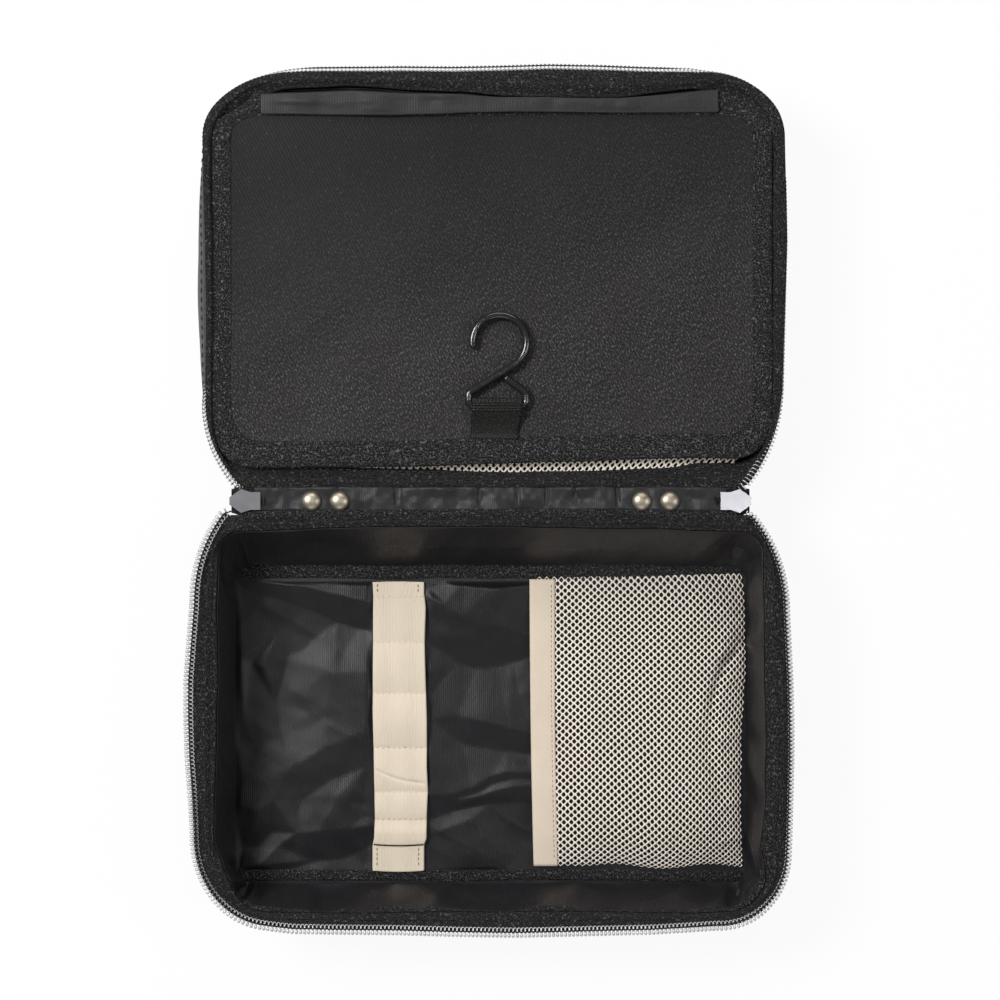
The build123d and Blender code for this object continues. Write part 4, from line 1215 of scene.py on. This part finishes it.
def crowd(t, start, end):
    """A share of the way along the net, with the cells drawn closer together near both ends."""
    return t - start * np.exp(-t / 0.07) * (1 - t) + end * np.exp(-(1 - t) / 0.085) * t + start * (1 - t)


# Folds of the pocket's net: start, end, width, height and lean
POCKET_FOLDS = [((107, -58), (92.5, -88), 2.6, -2.2, 0.6), ((93, -86), (99, -130), 4.0, -1.6, 0.6),
                ((103, -50), (88, -92), 4.0, 1.0, 0.8)]
# Small folds from the pocket's sewn side: where along y, and how high
POCKET_TUCKS = ((-44, 0.9), (-62, 1.0), (-74, 0.8), (-97, 1.0), (-112, 0.9), (-126, 0.8), (-141, 0.7))
POCKET_BINDING = [
    (0.0, -0.5), (-0.03, 0.0), (0.0, 0.42), (0.05, 0.62), (0.2, 0.70), (0.4, 0.72), (0.6, 0.70), (0.8, 0.66),
    (0.86, 0.50), (0.90, 0.62), (0.97, 0.58), (1.0, 0.2), (1.0, -0.3), (0.9, -0.62), (0.5, -0.7), (0.08, -0.7)]


def make_base_pocket():
    """The net pocket on the base's floor, with its bound mouth at the left."""
    width, length = 92.0, 131.0

    def place(p):
        u, t = p[:, 0], p[:, 1] / length
        over = np.clip((u - 44) / (width - 44), 0, 1)
        x = 20.5 + u - 4.2 * over ** 3
        top = -33.4 + 3.0 * smooth((x - 20) / 90)
        head = 0.012 * (0.35 + 0.65 * smooth((x - 45) / 40))
        foot = -0.030 - 0.028 * np.exp(-((x - 76) / 16) ** 2) - 0.008 * np.sin(x / 7)
        first, last = crowd(0.0, head, foot), crowd(1.0, head, foot)
        s = (crowd(t, head, foot) - first) / (last - first)
        y = top + (-154.6 + 0.9 * np.sin(x / 6.5) * smooth((x - 30) / 20) - top) * s
        x = x + 1.2 * s * (1 - over) - 1.2 * over ** 2 * (
            np.exp(-((s - 0.02) / 0.12) ** 2) + np.exp(-((s - 1.0) / 0.14) ** 2))
        x = x + 0.9 * over ** 3 * noise(0, y, 7, 61)
        x = x + over * 1.2 * np.sin(np.pi * s * 2.0 + 0.4)
        y = y + 2.6 * np.sin(np.pi * s) * np.sin(np.pi * np.clip((x - 20) / 86, 0, 1))
        hump = (1 - np.exp(-np.maximum(108.0 - x, 0) / 6.5)) * (1 - np.exp(-s * 121 / 8.0)) * (
            1 - np.exp(-(1 - s) * 121 / 9.0))
        mouth = pocket_mouth(y)
        z = mouth - 0.5 + (6.5 + 6.4 * hump - mouth + 0.5) * smooth((x - 25) / 18)
        z = z + hump * (0.6 * noise(x * 0.8, y, 24, 62))
        for crease in POCKET_FOLDS:
            z = z + fold(x, y, *crease)
        for at, high in POCKET_TUCKS:
            z = z + fold(x, y, (108, at), (95, at - 3), 2.0, high, 1.0)
        return np.stack([x, y, np.maximum(z, 6.35)], axis=1)

    ob = net("Mesh_Pocket_Net", width, length, place, "base")
    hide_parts("mesh_pocket")
    y = np.linspace(-33.0, -153.6, 110)
    t = (y[0] - y) / (y[0] - y[-1])
    left = 16.6 + 1.7 * t - 0.4 * np.sin(np.pi * t)
    right = 27.0 + 1.2 * t - 0.5 * np.sin(np.pi * t)
    ups = pocket_mouth(y)
    rows = []
    for across, up in POCKET_BINDING:
        x = left + (right - left) * across
        rows.append(np.stack([x, y, np.maximum(ups + up + 0.10 * noise(x, y, 7, 63), 6.1)], axis=1))
    ob = piece("Mesh_Pocket_Binding", ribbon(rows), CREAM, "base")
    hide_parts("mesh_pocket_binding")
    heap = Heap()
    path = np.stack([left + (right - left) * 0.86, y, ups + 0.56], axis=1)
    stitches(heap, path[2:-2], length=1.0, gap=1.1, thread=0.14)
    heap.piece("Mesh_Pocket_Stitches", BROWN_THREAD, "base", "beige_binding")


LID_POCKET_BINDING = [(0.0, -0.45), (0.0, 0.35), (0.07, 0.55), (0.15, 0.42), (0.22, 0.58), (0.5, 0.62), (0.9, 0.55),
                      (1.0, 0.2), (1.0, -0.4), (0.5, -0.6)]


def make_lid_pocket():
    """The net pocket across the lid, behind the flap, with its bound mouth away from the spine."""
    width, length, near, mouth = 217.0, 91.0, 10.2, 98.6

    def place(p):
        x = -108.4 + p[:, 0]
        t = p[:, 1] / length
        y = near + p[:, 1] * (99.5 - near) / length
        room = 53.0 + np.sqrt(np.maximum(62.0 ** 2 - (48.0 - np.minimum(y, 48.0)) ** 2, 1.0)) - 4.5
        x = x * np.minimum(1.0, room / 108.4)
        sag = np.sin(np.pi * np.clip((x + 109) / 218, 0, 1)) ** 0.5 * np.sin(np.pi * np.clip(t * 0.9, 0, 1))
        return np.stack([x, y, 31.6 - 1.2 * sag + 0.25 * noise(x, y, 30, 71)], axis=1)

    ob = net("Lid_Mesh_Pocket_Net", width, length, place, "lid", opening=0.86)
    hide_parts("lid_mesh_pocket")
    x = np.linspace(-108.6, 108.6, 150)
    bow = np.sin(np.pi * (x + 109) / 218)
    dip = 1.2 * bow + 0.2 * noise(x, 0, 20, 72)
    rows = [np.stack([x, mouth + 10.2 * across + 0.5 * bow, 32.0 - dip + up], axis=1)
            for across, up in LID_POCKET_BINDING]
    ob = piece("Lid_Mesh_Pocket_Binding", ribbon(rows), CREAM, "lid")
    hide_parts("lid_mesh_binding")
    heap = Heap()
    path = np.stack([x, mouth + 1.5 + 0.5 * bow, 32.0 - dip + 0.5], axis=1)
    stitches(heap, path[2:-2], length=1.1, gap=1.1, thread=0.14)
    heap.piece("Lid_Mesh_Pocket_Stitches", BROWN_THREAD, "lid", "beige_binding")


def flap_skew(loop):
    """The flap hangs a little higher at its right than at its left."""
    loop = loop.copy()
    fade = 1 - np.clip((loop[:, 1] - 14) / 148, 0, 1)
    loop[:, 1] += 3.6 * smooth((loop[:, 0] + 70) / 170) * fade
    return loop


def flap_face(x, y):
    """Height of the flap's front: softly waved, a little higher along its binding, and level under the hook."""
    shape = np.shape(x)
    x, y = np.ravel(x), np.ravel(y)
    spot = np.stack([x, y, 0 * x], 1)
    turned = spot @ np.array([[0.8, 0.6, 0], [-0.6, 0.8, 0], [0, 0, 1]])
    z = FLAP_FRONT + 1.0 * cloud(turned * [0.55, 1, 1], 48, 81) + 0.22 * cloud(spot, 19, 82)
    inside = np.minimum(np.minimum(x + 106, 107 - x), y - 22)
    z = z + 0.5 * np.exp(-np.maximum(inside, 0) / 7.0)
    hook = np.exp(-((x - 3) / 22) ** 4 - ((y - 52) / 34) ** 4)
    return (z * (1 - hook) + FLAP_HOOK_PATCH * hook).reshape(shape)


# Cross-section of the flap's binding from the front's edge round to the back: share of its width, and height
FLAP_BINDING_PROFILE = [
    (0.0, -0.15), (0.0, 0.12), (0.03, 0.26), (0.12, 0.34), (0.17, 0.22), (0.22, 0.42), (0.4, 0.62), (0.6, 0.70),
    (0.78, 0.60), (0.84, 0.46), (0.89, 0.52), (0.95, 0.35), (0.99, 0.0), (1.01, -0.5), (0.99, -1.0), (0.95, -1.35),
    (0.8, -1.6), (0.4, -2.2), (0.0, -2.6), (0.0, -2.2)]
FLAP_STITCHED_ROWS = (4, 9)
# How far from the spine the binding's outer edge may lie, by x: it is cut back at its two far corners
FLAP_REACH = ([-113.8, -112.2, -103.9, -99.7, -97.0, -93.5, -88.0, 88.0, 93.3, 99.4, 109.6, 112.0, 115.1],
              [151.0, 155.2, 160.0, 162.6, 165.8, 167.7, 163.5, 163.5, 168.0, 165.3, 160.9, 158.4, 152.5])


def make_flap():
    """The flap's front and back, and the binding round them."""
    x, y = span_grid(-107.5, 108.8, 22.6, 160.0, 15.0, 12.0, 200, 130)
    flat = flap_skew(np.stack([x.ravel(), y.ravel()], 1))
    x, y = flat[:, 0].reshape(x.shape), flat[:, 1].reshape(x.shape)
    front = np.stack([x, y, flap_face(x, y)], axis=2)
    ob = sheet("Flap_Front_Panel", front, TWILL, "flap")
    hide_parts("flap_front", "flap_board")
    back = front[::3, ::3].copy()
    back[:, :, 2] = FLAP_BACK + 0.3 * cloud(back.reshape(-1, 3), 38, 83).reshape(back.shape[:2])
    ob = sheet("Flap_Back_Panel", back, NYLON, "flap")
    ob.data.flip_normals()
    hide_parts("flap_back")

    outer = flap_skew(outline(-113.8, 115.1, 13.8, 167.9, 17.0, (20.0, 12.0)))
    outer[:, 1] = np.minimum(outer[:, 1], np.interp(outer[:, 0], *FLAP_REACH))
    inner = flap_skew(outline(-105.8, 107.1, 24.4, 157.5, 13.0, (13.0, 8.0)))
    inner = inner + outward(inner) * (0.30 * cloud(lay(inner, 0, 1), 10, 84))[:, None]
    outer = outer + outward(outer) * (0.35 * cloud(lay(outer, 0, 1), 22, 85))[:, None]
    front_at = flap_face(inner[:, 0], inner[:, 1])
    lift = 0.5 * cloud(lay(outer, 0, 1), 42, 86)
    rows = []
    for t, up in FLAP_BINDING_PROFILE:
        row = lay(inner + (outer - inner) * t, front_at + up + lift * t + 0.2 * t, 1)
        pucker = np.sin(np.pi * np.clip(t, 0, 1)) * (up > 0)
        row[:, 2] += 0.14 * cloud(row, 4.0, 87) * pucker + 0.08 * cloud(row, 1.8, 88) * pucker
        rows.append(row)
    ob = piece("Flap_Binding", skin(rows, over=True), FLAP_BINDING, "flap")
    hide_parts("flap_binding")
    heap = Heap()
    for at in FLAP_STITCHED_ROWS:
        row = np.vstack([rows[at], rows[at][:1]])
        stitches(heap, row + [0, 0, 0.08], length=2.3, gap=1.0, thread=0.17)
    heap.piece("Flap_Stitches", BLACK_THREAD, "flap", "binding")


# Edges of the fold strip, as x and the distance from the spine
FOLD_STRIP_NEAR = ([-94, -57, -40, -11, 10, 28, 60, 92], [157.7, 157.1, 157.1, 158.1, 158.6, 158.4, 158.0, 158.4])
FOLD_STRIP_FAR = ([-94, -57, -35, -11, 3, 28, 53, 72, 93],
                  [166.6, 168.4, 167.2, 166.4, 165.2, 165.0, 164.8, 166.5, 168.6])


def make_fold_strip():
    """Strip of nylon along the top that the flap folds on, softly gathered lengthwise."""
    xx, ss = np.meshgrid(np.linspace(-93.6, 92.9, 300), np.linspace(0, 1, 30))
    near = np.interp(xx, *FOLD_STRIP_NEAR) + 0.15 * noise(xx, 0, 12, 90)
    far = np.interp(xx, *FOLD_STRIP_FAR) + 0.25 * noise(xx, 0, 9, 91)
    yy = near + (far - near) * ss ** 0.9
    folds = (noise(xx * 0.14, yy, 3.6, 93) * 0.62 + noise(xx * 0.3, yy, 2.0, 94) * 0.22
             + noise(xx, 0, 15.0, 95) * 0.5 + noise(xx, 0, 5.0, 96, creased=True) * 0.3)
    zz = 38.3 + 0.4 * np.sin(np.pi * ss * 0.8) - 4.2 * smooth((ss - 0.86) / 0.14) + folds * np.sin(
        np.pi * np.clip(ss, 0.10, 0.94))
    top = np.stack([xx, yy, zz], axis=2)
    under = top[::-1] - np.array([0, 0, 0.35])
    under[-1, :, 2] -= 0.15
    ob = piece("Flap_Fold_Strip", ribbon(np.concatenate([top, under])), STRIP_NYLON, None)
    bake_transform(ob)
    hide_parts("flap_fold_strip")


# The webbing's way round the foot of the hook and back to the flap, as y and z
WEBBING_GUIDE = [
    (25.4, 37.0), (27.5, 37.35), (30.5, 37.9), (33.5, 39.1), (36.2, 40.5), (38.6, 41.15), (40.6, 40.75), (41.7, 39.6),
    (41.85, 38.3), (41.2, 37.2), (39.4, 36.75), (34.0, 36.6), (28.0, 36.6), (25.4, 36.6)]
WEBBING_STEP = 0.15


def make_webbing():
    """Webbing folded round the foot of the hook and sewn to the flap."""
    line, away = eased(WEBBING_GUIDE, 0.55, 6, WEBBING_STEP)
    run = np.arange(len(line)) * WEBBING_STEP
    ribs_on = smooth((run - 11.0) / 1.5) * smooth((27 - run) / 3)
    rise = np.abs(np.sin(np.pi * run / 1.15)) ** 0.7 * (0.03 + 0.45 * ribs_on)
    stitch_dip = -0.25 * np.exp(-((run - 1.4) / 0.4) ** 2) - 0.12 * np.exp(-((run - 9.0) / 0.5) ** 2)
    outer = line + away * (rise + stitch_dip)[:, None]
    inner = line - away * 0.75
    s = np.linspace(0, 1, 25)
    edge = np.minimum(s, 1 - s) * 20
    grid = []
    for face in (outer, inner[::-1]):
        wide = smooth((face[:, 0] - 27) / 12)
        left, right = -8.0 + 0.5 * wide, 11.3 + 1.9 * wide
        x = left[:, None] + (right - left)[:, None] * s[None, :]
        cords = 0.05 * np.cos(x * math.tau / 1.1)
        z = face[:, 1][:, None] + cords - 0.2 * (1 - smooth(edge / 0.8))[None, :]
        grid.append(np.stack([x, np.repeat(face[:, :1], len(s), 1), z], axis=2))
    ob = piece("Webbing_Loop", ribbon(np.concatenate(grid)), WEBBING, "flap")
    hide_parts("webbing_loop")
    heap = Heap()
    for at in (26.5, 34.2):
        z = float(np.interp(at, outer[:80, 0], outer[:80, 1]))
        px = np.linspace(-6.6, 10.6, 40)
        stitches(heap, np.stack([px, px * 0 + at, px * 0 + z + 0.1], 1), length=1.6, gap=0.8, thread=0.17)
    heap.piece("Webbing_Stitches", BLACK_THREAD, "flap", "webbing")


# Spine, from the strip inside to the handle outside

RIVETS = (-73.3, -61.8, 61.8, 73.3)
SPINE_CREASES = (-62.0, -38.5, -4.3, 11.2, 23.1, 34.9, 52.0)
# Cross-sections: of the hem as share of its width and height, of the others as y and z
HEM_PROFILE = [(0.0, -0.4), (-0.02, 0.1), (0.1, 0.42), (0.35, 0.55), (0.65, 0.52), (0.9, 0.3), (1.0, -0.3),
               (1.0, -1.0), (0, -1.0)]
SPINE_PROFILE = [(-6.6, 32.6), (-6.9, 32.2), (-6.5, 31.8), (-4.6, 31.65), (0, 31.8), (4.6, 31.65), (6.5, 31.8),
                 (6.9, 32.2), (6.6, 32.6), (0.0, 33.4)]
STUB_PROFILE = [(-5.4, 33.4), (-5.5, 33.9), (-4.6, 34.2), (-1.6, 34.2), (0, 34.0), (1.6, 34.2), (4.6, 34.2),
                (5.5, 33.9), (5.4, 33.4), (0, 33.2)]


def make_spine():
    """The strip of nylon between the halves, its bound hem along the base side, and the outer strip."""
    xx, ss = np.meshgrid(np.linspace(-96.5, 96.5, 300), np.linspace(0, 1, 22))
    far = 5.9 + 0.25 * noise(xx, 0, 20, 101)
    near = -3.9 - 0.7 * np.abs(xx / 96) ** 3 + 0.3 * noise(xx, 0, 26, 102)
    yy = far + (near - far) * ss
    z = SPINE_TOP + 1.15 * noise(xx * 0.4, yy, 4.5, 103) + 1.35 * noise(xx, yy * 0.3, 5.5, 104, creased=True)
    z += 0.45 * noise(xx, yy, 2.4, 105, creased=True)
    for at in SPINE_CREASES:
        z -= 1.3 * np.exp(-((xx - at) / 0.8) ** 2) * smooth((yy + 3) / 4)
    for at in RIVETS:
        # The cloth is drawn down to each rivet, with a ring of puckers round it
        d = np.hypot(xx - at, yy)
        pull_in = np.exp(-(d / 5.5) ** 2)
        z = z * (1 - pull_in) + RIVET_SEAT * pull_in
        z += 0.35 * np.exp(-((d - 6.2) / 1.5) ** 2) * (0.6 + 0.4 * np.cos(3 * np.arctan2(yy, xx - at)))
    z = z - 0.7 * (1 - smooth(np.minimum(ss, 1 - ss) / 0.06))
    top = np.stack([xx, yy, z], axis=2)
    under = top[::-1] * [1, 1, 0] + [0, 0, SPINE_UNDER]
    ob = piece("Spine_Inner_Strip", ribbon(np.concatenate([top, under])), SPINE_NYLON, "spine")
    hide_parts("spine_lining", "spine_stiffener")
    x = np.linspace(-101, 101, 240)
    rows = []
    for across, up in HEM_PROFILE:
        y = -3.4 - 0.7 * np.abs(x / 96) ** 3 - 3.6 * across + 0.25 * noise(x, 0, 24, 106)
        rows.append(np.stack([x, y, 34.75 + up + 0.12 * noise(x, across * 3, 6, 107)], axis=1))
    piece("Spine_Hem", ribbon(rows), BINDING, "spine")
    x = np.linspace(-95, 95, 160)
    rows = [np.stack([x, 0 * x + y, 0 * x + z + 0.12 * noise(x, y, 22, 108)], axis=1) for y, z in SPINE_PROFILE]
    ob = piece("Spine_Outer_Strip", ribbon(rows), OUTER, "spine")
    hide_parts("spine_strip")
    heap = Heap()
    for y in (-4.9, 4.9):
        path = np.stack([x, 0 * x + y, 0 * x + 31.6], 1)
        stitches(heap, path[3:-3], length=2.8, gap=1.0, thread=0.2, up=(0, 0, -1))
    heap.piece("Spine_Stitches", BLACK_THREAD, "spine", "shell_fabric")


# The handle's way from one pair of rivets to the other, as x and z, and its cross-section as y and thickness
HANDLE_GUIDE = [(-79.0, 31.2), (-66, 31.1), (-56, 30.3), (-47, 25.4), (-39, 19.0), (-28, 16.0), (0, 15.2), (28, 16.0),
                (39, 19.0), (47, 25.4), (56, 30.3), (66, 31.1), (79.0, 31.2)]
HANDLE_PROFILE = [(-5.4, 0.45), (-5.0, 0.7), (-3.8, 0.75), (-2.4, 0.85), (0, 0.75), (2.4, 0.85), (3.8, 0.75),
                  (5.0, 0.7), (5.4, 0.45)]
HANDLE_PROFILE += [(y, -up) for y, up in HANDLE_PROFILE[::-1]]
HANDLE_STEP = 0.55
HANDLE_RIB_PITCH = 1.65


def make_handle():
    """Carry handle: webbing riveted through the spine at both ends."""
    line, away = eased(HANDLE_GUIDE, 1.4, 14, HANDLE_STEP)
    rib = 0.07 * np.sin(np.arange(len(line)) * HANDLE_STEP * math.tau / HANDLE_RIB_PITCH)
    rows = []
    for y, up in HANDLE_PROFILE:
        row = line + away * (up + rib * math.copysign(1, up))[:, None]
        rows.append(np.stack([row[:, 0], 0 * row[:, 0] + y, row[:, 1]], axis=1))
    ob = piece("Carry_Handle", ribbon(rows), WEBBING, "spine")
    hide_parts("carry_handle")


def make_rivets():
    """Domed rivet caps with a rolled edge."""
    dome = [(3.5, 34.1), (3.95, 34.3)]
    dome += [(4.02 * math.cos(a * 1.5), RIVET_BRIM + 2.75 * math.sin(a * 1.5)) for a in np.linspace(0.0, 1.0, 14)]
    turn = np.linspace(0, math.tau, 48, endpoint=False)
    last = (len(dome) - 1) * 48
    heap = Heap()
    for at in RIVETS:
        rings = [np.stack([at + r * np.cos(turn), r * np.sin(turn), 0 * turn + z], axis=1) for r, z in dome]
        heap.add(capped(skin(rings), range(48)[::-1], range(last, last + 48)))
    ob = heap.piece("Rivet_Caps", RIVET_METAL, "spine", "rivet_metal")
    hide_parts("rivet_caps")


def make_stubs():
    """Short joined ends of the zip beyond the sliders."""
    for side, name in ((-1, "Left"), (1, "Right")):
        x = side * np.linspace(91.0, 106.0, 26)
        wide = 1.25 - 0.35 * smooth((np.abs(x) - 100) / 6)
        heap = Heap()
        heap.add(ribbon([np.stack([x, wide * y, 0 * x + z], axis=1) for y, z in STUB_PROFILE]))
        turns = 4
        t = np.linspace(0, turns, turns * 14)
        path = np.stack([side * (92.0 + t * 1.55), 1.6 * np.cos(t * math.tau), 35.0 + 0.42 * np.sin(t * math.tau)], 1)
        heap.add(tube(path, 0.3))
        ob = heap.piece("Zip_Stub_" + name, TAPE, "spine", "zip_tape")
        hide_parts("zip_stub_" + name.lower())


make_brush_band()
make_base_pocket()
make_lid_pocket()
make_flap()
make_fold_strip()
make_webbing()
make_spine()
make_handle()
make_rivets()
make_stubs()
for ob in BASE_PIECES:
    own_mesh(ob)

# Solids of the CAD that stay, and the material they take
KEPT_SOLIDS = {
    "slider_left": SLIDER_METAL, "slider_right": SLIDER_METAL, "pull_tab_left": SLIDER_METAL,
    "pull_tab_right": SLIDER_METAL, "rivet_posts": RIVET_METAL, "hook": PAINT}
for node, material in KEPT_SOLIDS.items():
    for place in bpy.data.objects[node].material_slots:
        place.material = material


# Floor and light
FLOOR_GLOW = 0.92
AMBIENT = 0.14
LAMP_AIM = (0.0, 0.0, 0.03)


def set_stage():
    """A pale floor that looks nearly white to the camera and in reflections, and still takes shadows."""
    m = Finish("Pale floor", 0.9)
    m.put((0.86, 0.86, 0.86, 1), m.shader.inputs["Base Color"])
    glow = m.add("Emission", {"Color": (1, 1, 1, 1)})
    ray = m.add("LightPath").outputs
    seen = m.maths("MAXIMUM", ray["Is Camera Ray"],
                   m.maths("MAXIMUM", ray["Is Glossy Ray"], ray["Is Transmission Ray"]))
    mix = m.add("MixShader", {0: m.some(seen, FLOOR_GLOW), 1: m.shader.outputs[0], 2: glow.outputs[0]})
    m.put(mix.outputs[0], m.tree.nodes["Material Output"].inputs["Surface"])
    bpy.ops.mesh.primitive_plane_add(size=8.0, location=(0, 0, -0.0003))
    floor = bpy.context.object
    floor.name = "Floor"
    floor.data.materials.append(m.material)


def lamp(name, place, size, power):
    data = bpy.data.lights.new(name, "AREA")
    data.shape = "RECTANGLE"
    data.size, data.size_y = size
    data.energy = power
    ob = bpy.data.objects.new(name, data)
    ob.location = place
    way = np.array(LAMP_AIM) - np.array(place)
    ob.rotation_euler = Vector(way).to_track_quat("-Z", "Y").to_euler()
    bpy.context.scene.collection.objects.link(ob)


set_stage()
lamp("Key softbox", (-0.95, 0.45, 1.25), (0.55, 0.55), 23.0)
lamp("Side softbox", (1.25, -0.1, 1.0), (0.5, 0.8), 5.5)
lamp("Far fill", (0.1, 1.4, 0.9), (1.2, 0.6), 7.5)
lamp("Near fill", (0.0, -1.4, 0.9), (1.2, 0.6), 4.0)
lamp("Small spot", (0.245, 0.0, 1.35), (0.07, 0.07), 0.9)
world = bpy.data.worlds.new("Studio")
bpy.context.scene.world = world
world.use_nodes = True
world.node_tree.nodes["Background"].inputs[0].default_value = (1, 1, 1, 1)
world.node_tree.nodes["Background"].inputs[1].default_value = AMBIENT
bpy.context.scene.view_settings.view_transform = "Standard"
